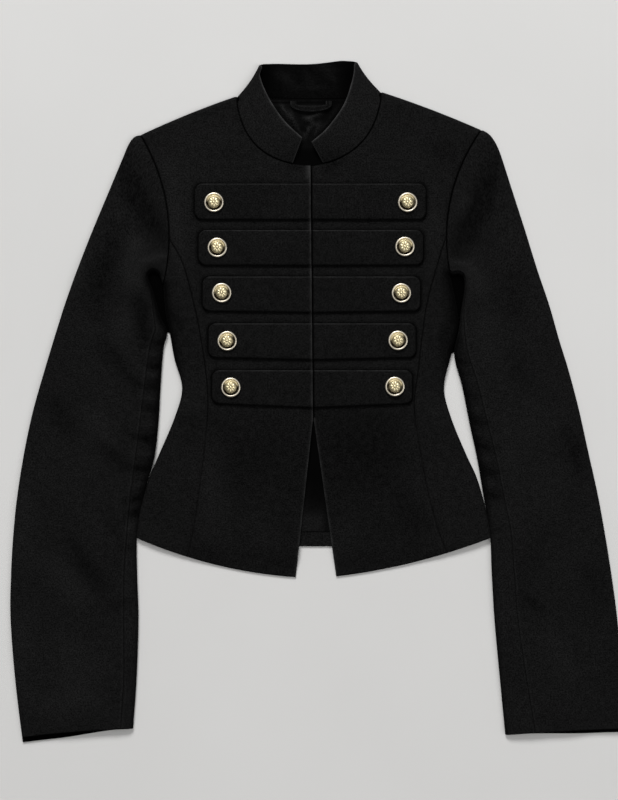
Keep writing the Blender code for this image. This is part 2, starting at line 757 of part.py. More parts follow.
def tab_end(side, tab):
    """Where the outer end of a tab is."""
    return getattr(tab, f"outer_{side}")


def tab_outline(side, tab, inset):
    """The edge of a tab: square at the centre front and rounded at its outer end."""
    out = OUT[side]
    middle = (tab.top + tab.bottom) / 2
    waist_x, waist_y = CORNERS[side].front_waist
    neck_x, neck_y = CORNERS[side].front_neck
    inner_x = np.interp(middle, (waist_y, neck_y), (waist_x, neck_x)) + out * inset
    outer_x = tab_end(side, tab) - out * inset
    corner = TAB_CORNER - inset
    centre_x = outer_x - out * corner
    top, bottom, bottom_end = tab.top - inset, tab.bottom + inset, tab.bottom + tab.rise + inset
    points = [(inner_x, bottom), (inner_x, top), ((inner_x + centre_x) / 2, top)]
    for centre_y, turn in ((top - corner, (90, 60, 30, 0)), (bottom_end + corner, (0, -30, -60, -90))):
        for angle in np.radians(turn):
            x = centre_x + out * corner * math.cos(angle)
            points.append((x, centre_y + corner * math.sin(angle)))
    points.append(((inner_x + centre_x) / 2, (bottom + bottom_end) / 2))
    return np.array(points)


def make_tab(side, number, tab, cloth):
    """A padded tab that lies on the front, its edges rolled."""
    rings = []
    for ring in TAB_RINGS:
        points = tab_outline(side, tab, ring.inset)
        rings.append(with_height(points, front_height(side, points) + LAYER_GAP + ring.z))
    return ring_object(f"tab_{side}_{number}", rings, cloth)


def button_mesh(brass):
    """A turned button: a flat back, a raised rim, a groove and a dome."""
    bm = bmesh.new()
    top, *turned, bottom = BUTTON_PROFILE
    angles = np.linspace(0.0, 2.0 * math.pi, BUTTON_SIDES, endpoint=False)
    loops = []
    for ring in turned:
        points = ring.radius * np.stack((np.cos(angles), np.sin(angles)), axis=-1)
        loops.append([bm.verts.new(p) for p in with_height(points, ring.z)])
    for low, high in zip(loops, loops[1:]):
        for k in range(BUTTON_SIDES):
            after = (k + 1) % BUTTON_SIDES
            bm.faces.new((low[k], low[after], high[after], high[k]))
    for pole, loop in ((top, loops[0]), (bottom, loops[-1])):
        tip = bm.verts.new((0.0, 0.0, pole.z))
        for k in range(BUTTON_SIDES):
            bm.faces.new((tip, loop[k], loop[(k + 1) % BUTTON_SIDES]))
    bmesh.ops.recalc_face_normals(bm, faces=bm.faces)
    bmesh.ops.scale(bm, vec=(MM, MM, MM), verts=bm.verts)
    mesh = bpy.data.meshes.new("button")
    bm.to_mesh(mesh)
    bm.free()
    mesh.materials.append(brass)
    return mesh


def make_button(side, number, tab, mesh, brass):
    """A button near the outer end of its tab."""
    centre_x = tab_end(side, tab) - OUT[side] * BUTTON_INSET
    centre = np.array((centre_x, (tab.top + tab.bottom + tab.rise / 2) / 2))
    z = float(front_height(side, centre)) + TAB_RINGS[-1].z + 2 * LAYER_GAP
    button = shaded_object(f"button_{side}_{number}", mesh, brass)
    button.location = (centre[0] * MM, centre[1] * MM, z * MM)
    return button


def centre_on_origin(pieces):
    """Parents the pieces to an empty that puts the middle of the jacket's underside at the origin."""
    bpy.context.view_layer.update()
    corners = np.array([piece.matrix_world @ vertex.co for piece in pieces for vertex in piece.data.vertices])
    low, high = corners.min(axis=0), corners.max(axis=0)
    jacket = bpy.data.objects.new("jacket", None)
    bpy.context.collection.objects.link(jacket)
    jacket.location = (-(low[0] + high[0]) / 2, -(low[1] + high[1]) / 2, -low[2])
    for piece in pieces:
        piece.parent = jacket


def main():
    for obj in list(bpy.data.objects):
        bpy.data.objects.remove(obj, do_unlink=True)
    cloth, satin, brass = (plain_material(*finish) for finish in (CLOTH, LINING, BRASS))
    pieces = [make_back(cloth), make_lining(satin), make_collar(cloth), make_loop(cloth)]
    button = button_mesh(brass)
    for side in SIDES:
        pieces.append(make_front(side, cloth))
        pieces.append(make_side_front(side, cloth))
        pieces.append(make_sleeve_upper(side, cloth))
        pieces.append(make_sleeve_under(side, cloth))
        for number, tab in enumerate(TABS, start=1):
            pieces.append(make_tab(side, number, tab, cloth))
            pieces.append(make_button(side, number, tab, button, brass))
    centre_on_origin(pieces)


main()
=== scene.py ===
"""Looks of a hussar jacket laid flat: cloth shells, lining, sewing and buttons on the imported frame.

Sizes are in millimetres from the centre front at the waist, as the pieces were drafted: x to the
wearer's left, y towards the collar and z up from the surface. Left and right are the wearer's, so the
right side is at -x. An outline is a curve of shares, from 0 at its start to 1 at its end.
"""

import logging
import math
from collections.abc import Callable, Sequence
from dataclasses import dataclass
from enum import Enum
from typing import NamedTuple

import bpy
import numpy as np
from bpy.types import Material, Mesh, Node, NodeSocket, NodeTree, Object
from mathutils import Matrix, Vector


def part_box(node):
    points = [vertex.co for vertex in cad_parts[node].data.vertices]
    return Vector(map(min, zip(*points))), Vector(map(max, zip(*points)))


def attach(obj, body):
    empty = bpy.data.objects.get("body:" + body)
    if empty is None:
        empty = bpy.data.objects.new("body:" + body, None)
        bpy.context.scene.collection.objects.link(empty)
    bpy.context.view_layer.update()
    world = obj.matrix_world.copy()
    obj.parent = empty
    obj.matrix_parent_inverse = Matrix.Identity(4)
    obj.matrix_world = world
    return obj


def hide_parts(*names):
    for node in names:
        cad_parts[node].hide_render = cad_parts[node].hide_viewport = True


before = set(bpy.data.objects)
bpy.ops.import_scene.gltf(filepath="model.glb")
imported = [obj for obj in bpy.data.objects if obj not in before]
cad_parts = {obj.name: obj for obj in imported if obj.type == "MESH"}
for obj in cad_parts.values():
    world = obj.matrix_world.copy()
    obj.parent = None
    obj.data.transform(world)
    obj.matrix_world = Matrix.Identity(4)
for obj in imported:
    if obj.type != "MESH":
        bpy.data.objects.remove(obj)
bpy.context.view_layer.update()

LOG = logging.getLogger("jacket")

Array = np.ndarray
Spot = tuple[float, float]
Colour = tuple[float, float, float, float]
Curve = Callable[[Array], Array]

MM = 0.001
ORIGIN = (0.0, 0.0, 0.0)

# The cloth's thickness, the space between two layers, and the height of an edge that lies on the back.
WALL = 2.0
LAYER_GAP = 0.3
EDGE_Z = WALL + LAYER_GAP

# How far two edges lap in a seam, and how far a sleeve stands off its armhole.
SEAM_LAP = 0.2
ARMHOLE_GAP = 0.3

# Distances in from an edge or a fold where a grid has its first lines.
EDGE_LINES = np.array((0.0, 0.15, 0.4, 0.8, 1.3, 2.0, 3.0, 4.4))
FOLD_LINES = np.array((0.0, 0.1, 0.3, 0.7, 1.3, 2.1, 3.1, 4.2, 5.5, 7.0))

# Radii of an edge that is sewn in a seam, and of a free edge that is turned over.
SEAM_ROLL = 1.0
FREE_ROLL = 1.4

# How wide the painted shade line of a seam is to each side, and that of a free edge.
SEAM_SHADE = 0.7
EDGE_SHADE = 0.9

# How far the two sides of a wall come together at a rolled edge.
MEET = 0.47

# Points along an outline when distances to it are measured.
OUTLINE_STEPS = 60
CREASE_STEPS = 14


# Outlines and surfaces.


def arc(start: Spot, end: Spot, bow: float = 0.0) -> Curve:
    """A shallow arc whose middle stands off its chord, to the left of the way it runs.

    Args:
        start: Where it starts.
        end: Where it ends.
        bow: How far its middle stands off the chord.

    Returns:
        The arc as a curve of shares.
    """
    first = np.array(start, float)
    chord = np.array(end, float) - first
    left = np.array((-chord[1], chord[0])) / np.hypot(*chord)

    def curve(shares: Array) -> Array:
        """Points of the arc."""
        t = np.asarray(shares)[..., None]
        return first + chord * t + left * (4.0 * bow * t * (1.0 - t))

    return curve


def smoothed(rows: Sequence, steps: int) -> Array:
    """Rows of a table with smooth rows between them.

    Args:
        rows: The table's rows of numbers.
        steps: How many steps there are from each row to the next.

    Returns:
        The rows of the table and those between them.
    """
    table = np.array(rows, float)
    ends = np.vstack((2 * table[0] - table[1], table, 2 * table[-1] - table[-2]))
    t = np.linspace(0.0, 1.0, steps, endpoint=False)[:, None]
    stretches = []
    for before, start, end, after in zip(ends, ends[1:], ends[2:], ends[3:]):
        bend = 2 * before - 5 * start + 4 * end - after
        twist = 3 * start - before - 3 * end + after
        stretches.append(start + 0.5 * ((end - before) * t + bend * t**2 + twist * t**3))
    return np.vstack(stretches + [table[-1:]])


def walked(points: Array) -> Array:
    """Distance along a list of points, from 0 at the first."""
    return np.concatenate(([0.0], np.cumsum(np.linalg.norm(np.diff(points, axis=0), axis=1))))


def through(points: Sequence[Spot]) -> Curve:
    """A smooth curve through points, walked at an even pace."""
    fine = smoothed(points, 12)
    way = walked(fine)

    def curve(shares: Array) -> Array:
        """Points of the curve."""
        at = np.asarray(shares) * way[-1]
        return np.stack([np.interp(at, way, column) for column in fine.T], axis=-1)

    return curve


def part_of(curve: Curve, start: float, end: float) -> Curve:
    """The stretch of a curve from one share of it to another."""
    return lambda shares: curve(start + (end - start) * np.asarray(shares))


def chain(*pieces: tuple[float, Curve]) -> Curve:
    """Curves walked one after another.

    Args:
        pieces: Each curve, after the share of the whole where it ends.

    Returns:
        The whole curve.
    """

    def curve(shares: Array) -> Array:
        """Points of the chain."""
        t = np.asarray(shares)
        points = np.empty(t.shape + (2,))
        begin = 0.0
        for end, piece in pieces:
            inside = (t >= begin) & (t <= end)
            points[inside] = piece((t[inside] - begin) / (end - begin))
            begin = end
        return points

    return curve


def patch(
    top: Curve, bottom: Curve, left: Curve, right: Curve, shares: tuple[Array, Array], fade: float = 1.0
) -> Array:
    """A grid of points between four edges.

    Args:
        top: The upper edge, from left to right.
        bottom: The lower edge, from left to right.
        left: The left edge, from top to bottom.
        right: The right edge, from top to bottom.
        shares: Shares of the columns across and of the rows down.
        fade: How soon the shapes of the left and right edges fade inwards, evenly at 1.

    Returns:
        Rows of points from top to bottom.
    """
    across, down = shares
    u = across[None, :, None]
    v = down[:, None, None]
    upper, lower = top(across)[None], bottom(across)[None]
    near, far = left(down)[:, None], right(down)[:, None]
    near_chord = (1 - v) * upper[:, :1] + v * lower[:, :1]
    far_chord = (1 - v) * upper[:, -1:] + v * lower[:, -1:]
    shapes = (1 - u) ** fade * (near - near_chord) + u**fade * (far - far_chord)
    return (1 - v) * upper + v * lower + shapes


def spread(length: float, step: float, lines: Array = EDGE_LINES) -> Array:
    """Places along a length, close together at both ends and even between.

    Args:
        length: The whole length.
        step: The even step.
        lines: Distances of the close places from each end.

    Returns:
        The places, from 0 to the length.
    """
    count = max(2, round((length - 2 * lines[-1]) / step))
    even = np.linspace(lines[-1], length - lines[-1], count + 1)
    return np.concatenate((lines[:-1], even, length - lines[-2::-1]))


def nearest(points: Array, line: Array) -> tuple[Array, Array, Array]:
    """Where points lie against a line through a list of points.

    Args:
        points: The points, of any number of rows.
        line: The list of points of the line.

    Returns:
        Each point's distance, its share of the way along, and a number above 0 if it is on the left.
    """
    start, step = line[:-1], np.diff(line, axis=0)
    offset = points[..., None, :] - start
    t = np.clip((offset * step).sum(-1) / (step**2).sum(-1), 0.0, 1.0)
    away = offset - t[..., None] * step
    gaps = np.linalg.norm(away, axis=-1)
    which = gaps.argmin(-1)[..., None]
    turn = step[:, 0] * away[..., 1] - step[:, 1] * away[..., 0]
    gap, share, side = (np.take_along_axis(x, which, -1)[..., 0] for x in (gaps, t, turn))
    return gap, (which[..., 0] + share) / len(step), side


def distance(points: Array, curve: Curve) -> Array:
    """Distance from each point to a curve."""
    return nearest(points, curve(np.linspace(0.0, 1.0, OUTLINE_STEPS)))[0]


def rounded(inset: Array, radius: float) -> Array:
    """Rise of a rounded edge, from 0 at the fold to 1 at its radius."""
    short = 1.0 - np.clip(inset / radius, 0.0, 1.0)
    return np.sqrt(1.0 - short**2)


def rolled(inset: Array, radius: float) -> Array:
    """How far an edge has rolled over, from 1 at the edge to 0 at its radius."""
    return 1.0 - rounded(inset, radius)


def eased(t: Array) -> Array:
    """A smooth step from 0 to 1."""
    t = np.clip(t, 0.0, 1.0)
    return t * t * (3.0 - 2.0 * t)


def bell(gap: Array, width: Array | float) -> Array:
    """A soft hump that is 1 at no distance and fades past its width."""
    return np.exp(-((gap / width) ** 2))


class Ramp(NamedTuple):
    """A smooth step from 0 to 1: where it starts and how far it runs, below 0 for downwards."""

    start: float
    run: float

    def at(self, values: Array) -> Array:
        """How far along the step values are."""
        return eased((values - self.start) / self.run)


def unevenness_along_edge(along: Array) -> Array:
    """How strong rubbed nap and painted highlight are along an edge: here more, there less, about 0.75 on
    average.
    """
    return 0.75 + 0.2 * np.sin(along / 6.1 + 0.8) * np.sin(along / 14.3 + 2.2) + 0.16 * np.sin(along / 2.7)


def with_height(points: Array, z: Array | float) -> Array:
    """Points in the plane lifted to a height each."""
    return np.concatenate((points, np.broadcast_to(z, points.shape[:-1])[..., None]), axis=-1)


@dataclass(frozen=True)
class Crease:
    """A soft ridge or trough of the cloth between two points, which fades towards its ends.

    Attributes:
        start: Where it starts.
        end: Where it ends.
        width: How far it spreads to its right.
        height: Its height, below 0 for a trough.
        bow: How far its middle stands off the straight line.
        peak: The share of its length where it is strongest.
        steep: How wide its left flank is, as a share of the right one.
    """

    start: Spot
    end: Spot
    width: float
    height: float
    bow: float = 0.0
    peak: float = 0.5
    steep: float = 1.0

    def lift(self, points: Array) -> Array:
        """Its height at points of the plane."""
        line = arc(self.start, self.end, self.bow)(np.linspace(0.0, 1.0, CREASE_STEPS))
        gap, share, side = nearest(points, line)
        width = np.where(side > 0.0, self.width * self.steep, self.width)
        along = share ** (math.log(0.5) / math.log(self.peak))
        return self.height * np.sin(math.pi * along) * bell(gap, width)


class Wave(NamedTuple):
    """A long low wave of loose cloth: its length, its direction in degrees and its phase in radians."""

    length: float
    direction: float
    phase: float


@dataclass(frozen=True)
class Slack:
    """The gentle unevenness of cloth that lies loose: a few long waves across each other."""

    height: float
    waves: tuple[Wave, ...] = (
        Wave(91, 22, 0.4),
        Wave(67, 118, 2.1),
        Wave(118, 74, 4),
        Wave(49, 157, 1.1),
        Wave(38, 48, 5.2),
    )

    def lift(self, points: Array) -> Array:
        """Its height at points of the plane."""
        total = np.zeros(points.shape[:-1])
        for wave in self.waves:
            heading = math.radians(wave.direction)
            along = points[..., 0] * math.cos(heading) + points[..., 1] * math.sin(heading)
            total += np.sin(2.0 * math.pi * along / wave.length + wave.phase)
        return self.height * total / len(self.waves)


def lift_of(shapes: Sequence[Crease | Slack], points: Array) -> Array:
    """Sum of the heights of creases and slack at points of the plane."""
    return sum((shape.lift(points) for shape in shapes), np.zeros(points.shape[:-1]))


# The draft of the body.


class Side(Enum):
    """A side of the jacket, as its wearer has it."""

    RIGHT = "right"
    LEFT = "left"

    @property
    def out(self) -> int:
        """Which way along x leads away from the centre front."""
        return -1 if self is Side.RIGHT else 1


class Corners(NamedTuple):
    """Corners of one side of the body."""

    neck_side: Spot
    shoulder_tip: Spot
    armpit: Spot
    side_hem: Spot
    front_neck: Spot
    front_waist: Spot
    front_hem: Spot


class SideRow(NamedTuple):
    """Where an outline is at one height, on the right and on the left."""

    y: float
    right: float
    left: float

    def spot(self, side: Side) -> Spot:
        """The point on one side."""
        return (getattr(self, side.value), self.y)


class Loft(NamedTuple):
    """Height of the outer face of the fronts at one place down the body."""

    y: float
    z: float


CORNERS = {
    Side.RIGHT: Corners(
        neck_side=(-82.6, 356.4),
        shoulder_tip=(-187.5, 313.9),
        armpit=(-162.5, 149.0),
        side_hem=(-193.2, -129.5),
        front_neck=(-0.7, 280.0),
        front_waist=(2.1, 0.0),
        front_hem=(-16.8, -173.3),
    ),
    Side.LEFT: Corners(
        neck_side=(77.9, 361.1),
        shoulder_tip=(187.3, 319.3),
        armpit=(152.8, 160.0),
        side_hem=(198.6, -129.5),
        front_neck=(0.5, 279.5),
        front_waist=(3.1, 0.0),
        front_hem=(27.8, -172.4),
    ),
}
SIDE_FOLD = (
    SideRow(119, -160.3, 161.4),
    SideRow(98, -156, 161.2),
    SideRow(68, -150.5, 153.5),
    SideRow(35, -142, 146.5),
    SideRow(2, -150.5, 154.5),
    SideRow(-37, -167, 170.5),
    SideRow(-64, -178.3, 182.8),
    SideRow(-99, -188.4, 192.9),
)
FRONT_SEAM = (
    SideRow(172, -141, 139.5),
    SideRow(132, -130, 128.5),
    SideRow(97, -122.5, 123),
    SideRow(50, -115.5, 117.5),
    SideRow(14, -113.5, 113.5),
    SideRow(-33, -117.5, 120),
    SideRow(-80, -123.5, 129),
    SideRow(-123, -130, 140.5),
)
BODY_LOFT = (Loft(-130.0, 5.6), Loft(-60.0, 7.0), Loft(60.0, 7.6), Loft(400.0, 7.6))

BODY_CREASES = {
    Side.RIGHT: (
        Crease((-120, -40), (12, -44), 36, -0.3),
        Crease((-112, -4), (-106, -146), 18, 1.1),
        Crease((-156, 296), (-139, 124), 10, 1.2),
        Crease((-36, 291), (-8, 275), 7, -1),
        Crease((-150, 316), (-64, 306), 16, 0.55),
        Crease((-152, 24), (-112, 8), 6, 0.7, steep=0.7),
        Crease((-154, 6), (-118, -10), 5, -0.6),
        Crease((-150, -62), (-176, -118), 13, -0.15),
        Crease((-152, 144), (-128, 108), 7, 0.3, peak=0.35),
        Crease((-158, 128), (-138, 92), 6, -0.9),
        Crease((-178, 262), (-112, 290), 26, 0.5),
        Crease((-64, -100), (-40, -160), 18, 0.6),
    ),
    Side.LEFT: (
        Crease((-10, -36), (126, -40), 38, -0.5),
        Crease((116, -10), (134, -150), 20, 0.35),
        Crease((154, 14), (118, 2), 6, 0.6, steep=1.4),
        Crease((90, -70), (128, -136), 15, -0.8),
        Crease((134, 262), (139, 120), 10, 0.7),
        Crease((36, 294), (10, 266), 8, -1.3),
        Crease((148, 150), (130, 108), 7, 0.2, peak=0.35),
        Crease((156, 122), (140, 76), 6, -0.9),
        Crease((118, 306), (172, 286), 14, -0.7),
        Crease((36, -104), (46, -162), 17, 0.6),
    ),
}


@dataclass(frozen=True)
class BodyDraft:
    """One side of the body as it was drafted: its outlines and the height of its outer face."""

    side: Side
    hem_bow: float
    seam_start: float
    seam_end: float
    arm_shade: float
    neck_bow: float
    skirt_dark: float
    skirt_y: float
    armhole_bow: float = 17.0
    shoulder_bow: float = 1.6
    back_hem_bow: float = 9.8
    waist_share: float = 0.62
    fold_radius: float = 5.5
    lap_rise: float = 1.7
    lap_width: float = 11.0
    tuck: float = 1.1
    hem_drop_run: float = 28.0
    allowance: float = 9.0
    allowance_rise: float = 0.4
    groove: float = 0.9
    groove_reach: float = 1.5
    pressed_run: float = 3.0
    hem_margin: float = 1.0
    slack: Slack = Slack(1.3)
    crease_light: float = 1.6
    skirt_reach: float = 46.0
    skirt_middle: Ramp = Ramp(116.0, -30.0)
    skirt_tone: float = 0.22
    below_tabs: Ramp = Ramp(26.0, -24.0)
    off_sides: Ramp = Ramp(150.0, -25.0)
    arm_tone: float = 0.4
    arm_tone_reach: float = 30.0
    above_waist: Ramp = Ramp(40.0, 50.0)
    turn_shade: float = 0.2
    turn_reach: float = 2.6
    below_arm_shade: float = 0.78
    below_arm: Ramp = Ramp(38.0, 40.0)
    seam_shade_strength: float = 0.8
    skirt_seams: float = 0.65
    into_skirt: Ramp = Ramp(20.0, -40.0)
    hem_shade: float = 0.45

    @property
    def corners(self) -> Corners:
        """The corners of this side."""
        return CORNERS[self.side]

    def armhole(self) -> Curve:
        """The armhole seam, from the shoulder to the armpit."""
        return arc(self.corners.shoulder_tip, self.corners.armpit, -self.side.out * self.armhole_bow)

    def neckline(self) -> Curve:
        """The collar's seam, from the shoulder to the front edge."""
        return arc(self.corners.neck_side, self.corners.front_neck, self.side.out * self.neck_bow)

    def hem(self) -> Curve:
        """The hem, from the side to the front edge."""
        return arc(self.corners.side_hem, self.corners.front_hem, self.side.out * self.hem_bow)

    def shoulder(self) -> Curve:
        """The shoulder fold, from the sleeve to the neck."""
        return arc(self.corners.shoulder_tip, self.corners.neck_side, -self.side.out * self.shoulder_bow)

    def side_fold(self) -> Curve:
        """The fold at the side, from the armpit to the hem."""
        rows = [row.spot(self.side) for row in SIDE_FOLD]
        return through([self.corners.armpit] + rows + [self.corners.side_hem])

    def front_seam(self) -> Curve:
        """The curved seam of the front, from the armhole to the hem."""
        rows = [row.spot(self.side) for row in FRONT_SEAM]
        first, last = self.armhole()(self.seam_start), self.hem()(self.seam_end)
        return through([first] + rows + [last])

    def front_edge(self) -> Curve:
        """The centre front edge, from the neck by the waist to the hem."""
        upper = arc(self.corners.front_neck, self.corners.front_waist)
        lower = arc(self.corners.front_waist, self.corners.front_hem)
        return chain((self.waist_share, upper), (1.0, lower))

    def back_hem_y(self, x: Array) -> Array:
        """Height of the back's hem at places across the body."""
        right, left = CORNERS[Side.RIGHT].side_hem, CORNERS[Side.LEFT].side_hem
        t = (x - right[0]) / (left[0] - right[0])
        return right[1] - 4.0 * self.back_hem_bow * t * (1.0 - t)

    def height(self, points: Array) -> Array:
        """Height of the fronts' outer face.

        Args:
            points: Points of the plane.

        Returns:
            A height for each point.
        """
        to_fold = np.minimum(distance(points, self.shoulder()), distance(points, self.side_fold()))
        level = np.interp(points[..., 1], [row.y for row in BODY_LOFT], [row.z for row in BODY_LOFT])
        level = level + lift_of((*BODY_CREASES[self.side], self.slack), points)
        to_seam = distance(points, self.front_seam())
        pressed = 1.0 - eased((to_seam - self.allowance) / self.pressed_run)
        groove = self.groove * bell(self.to_seams(points), self.groove_reach)
        level = level + self.allowance_rise * pressed - groove
        to_edge = eased(1.0 - distance(points, self.front_edge()) / self.lap_width)
        level = level + to_edge * (self.lap_rise if self.side is Side.RIGHT else -self.tuck)
        past_hem = eased((self.back_hem_y(points[..., 0]) - points[..., 1]) / self.hem_drop_run)
        level = level + (EDGE_Z - level) * past_hem
        return EDGE_Z + (level - EDGE_Z) * rounded(to_fold, self.fold_radius)

    def lay(self, points: Array) -> Array:
        """Painted light on crease ridges and shade in troughs, darker in the skirt, painted shade under the
        arm.
        """
        x, y = np.abs(points[..., 0]), points[..., 1]
        middle = bell(y - self.skirt_y, self.skirt_reach) * self.skirt_middle.at(x)
        below_tabs = self.below_tabs.at(y) * self.off_sides.at(x)
        in_skirt = self.skirt_tone * below_tabs + self.skirt_dark * middle
        to_side = distance(points, self.side_fold())
        by_arm = self.arm_tone * bell(to_side, self.arm_tone_reach) * self.above_waist.at(y)
        creased = lift_of(BODY_CREASES[self.side], points) / self.crease_light
        return np.clip(creased - in_skirt - by_arm, -1.0, 1.0)

    def side_shade(self, points: Array) -> Array:
        """Painted shade where the side turns down, most of all under the arm, at points of the plane."""
        inset = distance(points, self.side_fold())
        below_arm = self.below_arm_shade * self.below_arm.at(points[..., 1])
        return self.turn_shade * bell(inset, self.turn_reach) + below_arm * bell(inset, self.arm_shade)

    def edge_shade(self, points: Array, seams: Array, to_hem: Array) -> Array:
        """Painted shade lines along a panel's seams, fainter in the skirt, and along its hem."""
        fainter = 1.0 - self.skirt_seams * self.into_skirt.at(points[..., 1])
        in_seams = self.seam_shade_strength * bell(seams, SEAM_SHADE) * fainter
        return np.maximum(in_seams, self.hem_shade * bell(to_hem, EDGE_SHADE))

    def to_seams(self, points: Array) -> Array:
        """Distance from each point to the nearest seam of the front."""
        return np.minimum.reduce([
            distance(points, self.front_seam()),
            distance(points, self.armhole()),
            distance(points, self.neckline()),
        ])

    def lowest(self, points: Array) -> Array:
        """Lowest height of the fronts' inner face: on the back, or past its hem on the surface."""
        over_back = points[..., 1] > self.back_hem_y(points[..., 0]) - self.hem_margin
        return np.where(over_back, EDGE_Z, LAYER_GAP)


DRAFTS = {
    Side.RIGHT: BodyDraft(
        Side.RIGHT, hem_bow=8.0, seam_start=0.71, seam_end=0.33, arm_shade=7.0, neck_bow=24.8,
        skirt_dark=0.18, skirt_y=-40.0,
    ),
    Side.LEFT: BodyDraft(
        Side.LEFT, hem_bow=5.8, seam_start=0.75, seam_end=0.29, arm_shade=10.0, neck_bow=22.5,
        skirt_dark=0.42, skirt_y=-30.0,
    ),
}


# Meshes.


class Place:
    """Where the draft lies in the frame, from a button that is in both."""

    def __init__(self, node: str, spot: Spot) -> None:
        """Works out the shift, from a node of the frame and its middle in the draft."""
        low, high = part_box(node)
        middle = (low + high) / 2
        self.shift = np.array((middle.x - spot[0] * MM, middle.y - spot[1] * MM, 0.0))

    def metres(self, points: Array) -> Array:
        """Points of the draft in the frame, in metres."""
        return points * MM + self.shift


@dataclass
class Face:
    """The outer face of a piece of cloth as a grid, with what its wall needs.

    Attributes:
        points: Rows of points, whose normal is along rows across columns.
        grain: Each point's place on the flat cloth, in millimetres.
        roll: How far the edge has rolled over at each point, from 0 to 1.
        lowest: Lowest height of the inner face.
        worn: Rubbed nap and painted highlight at each point, from 0 to 1.
        shade: Painted shade at each point, from 0 to 1, in seams and folds and under other cloth.
        lay: Tone, with painted shade in troughs and light on ridges, from -1 to 1.
    """

    points: Array
    grain: Array
    roll: Array
    lowest: Array | float
    worn: Array | float = 0.0
    shade: Array | float = 0.0
    lay: Array | float = 0.0

    def flipped(self) -> "Face":
        """The same face with its columns the other way."""
        masks = (self.roll, self.lowest, self.worn, self.shade, self.lay)
        flat = [np.broadcast_to(mask, self.roll.shape)[:, ::-1] for mask in masks]
        return Face(self.points[:, ::-1], self.grain[:, ::-1], *flat)

    def wall(self, thickness: float) -> tuple[Array, Array]:
        """The outer and the inner side of the cloth at a thickness, which meet at rolled edges."""
        normal = np.cross(np.gradient(self.points, axis=0), np.gradient(self.points, axis=1))
        normal /= np.maximum(np.linalg.norm(normal, axis=-1, keepdims=True), 1e-9)
        inner = self.points - thickness * normal
        inner[..., 2] = np.maximum(inner[..., 2], self.lowest)
        meet = MEET * self.roll[..., None] * (inner - self.points)
        return self.points + meet, inner - meet


def new_object(name: str, mesh: Mesh) -> Object:
    """An object of the scene that shows a mesh."""
    obj = bpy.data.objects.new(name, mesh)
    bpy.context.scene.collection.objects.link(obj)
    return obj


def started(add: Callable[..., set[str]], **sizes: object) -> Object:
    """A new primitive of Blender's, opened for editing with all of it selected."""
    bpy.ops.object.select_all(action="DESELECT")
    add(**sizes)
    bpy.ops.object.mode_set(mode="EDIT")
    bpy.ops.mesh.select_all(action="SELECT")
    return bpy.context.active_object


def joined(parts: list[Object]) -> Object:
    """Several objects made one."""
    bpy.ops.object.select_all(action="DESELECT")
    for part in parts:
        part.select_set(True)
    bpy.context.view_layer.objects.active = parts[0]
    bpy.ops.object.join()
    return parts[0]


def add_mask(mesh: Mesh, name: str, values: Array) -> None:
    """Gives a mesh a number for each of its points."""
    mesh.attributes.new(name, "FLOAT", "POINT").data.foreach_set("value", values.astype(np.float32))


def mesh_of(name: str, points: Array, quads: Array) -> Mesh:
    """A smooth mesh of quads.

    Args:
        name: The mesh's name.
        points: Its vertices, in metres.
        quads: Its faces, four vertices each.

    Returns:
        The mesh.
    """
    mesh = bpy.data.meshes.new(name)
    mesh.vertices.add(len(points))
    mesh.vertices.foreach_set("co", points.astype(np.float32).ravel())
    mesh.loops.add(quads.size)
    mesh.loops.foreach_set("vertex_index", quads.astype(np.int32).ravel())
    mesh.polygons.add(len(quads))
    mesh.polygons.foreach_set("loop_start", np.arange(0, quads.size, 4, dtype=np.int32))
    mesh.update(calc_edges=True)
    mesh.validate()
    mesh.shade_smooth()
    return mesh


def shell(name: str, face: Face, sides: tuple[Array, Array], place: Place) -> Object:
    """A closed thin wall of cloth.

    Args:
        name: The piece's name.
        face: Its outer face, for the grain and the rolled edges.
        sides: The outer and the inner points.
        place: Where the draft lies.

    Returns:
        The piece, with a UV map of its flat cloth in metres and its masks.
    """
    rows, columns = face.roll.shape
    outer = np.arange(rows * columns).reshape(rows, columns)
    inner = outer + outer.size
    quads = []
    for index, step in ((outer, 1), (inner, -1)):
        corners = (index[:-1, :-1], index[1:, :-1], index[1:, 1:], index[:-1, 1:])
        quads.append(np.stack(corners[::step], axis=-1).reshape(-1, 4))
    rim = np.concatenate((outer[:, 0], outer[-1, 1:], outer[-2::-1, -1], outer[0, -2:0:-1]))
    after = np.roll(rim, -1)
    quads.append(np.stack((after, rim, rim + outer.size, after + outer.size), axis=-1))
    points = np.concatenate([side.reshape(-1, 3) for side in sides])
    corners = np.concatenate(quads)
    mesh = mesh_of(name, place.metres(points), corners)
    grain = np.tile(face.grain.reshape(-1, 2) * MM, (2, 1))
    flat = grain[corners.ravel()].astype(np.float32)
    mesh.uv_layers.new(name="grain").data.foreach_set("uv", flat.ravel())
    # The masks: rubbed nap with painted highlight, painted shade, and tone with painted light.
    for mask in ("worn", "shade", "lay"):
        values = np.broadcast_to(getattr(face, mask), face.roll.shape)
        add_mask(mesh, mask, np.tile(values.ravel(), 2))
    return new_object(name, mesh)


# Finishes.


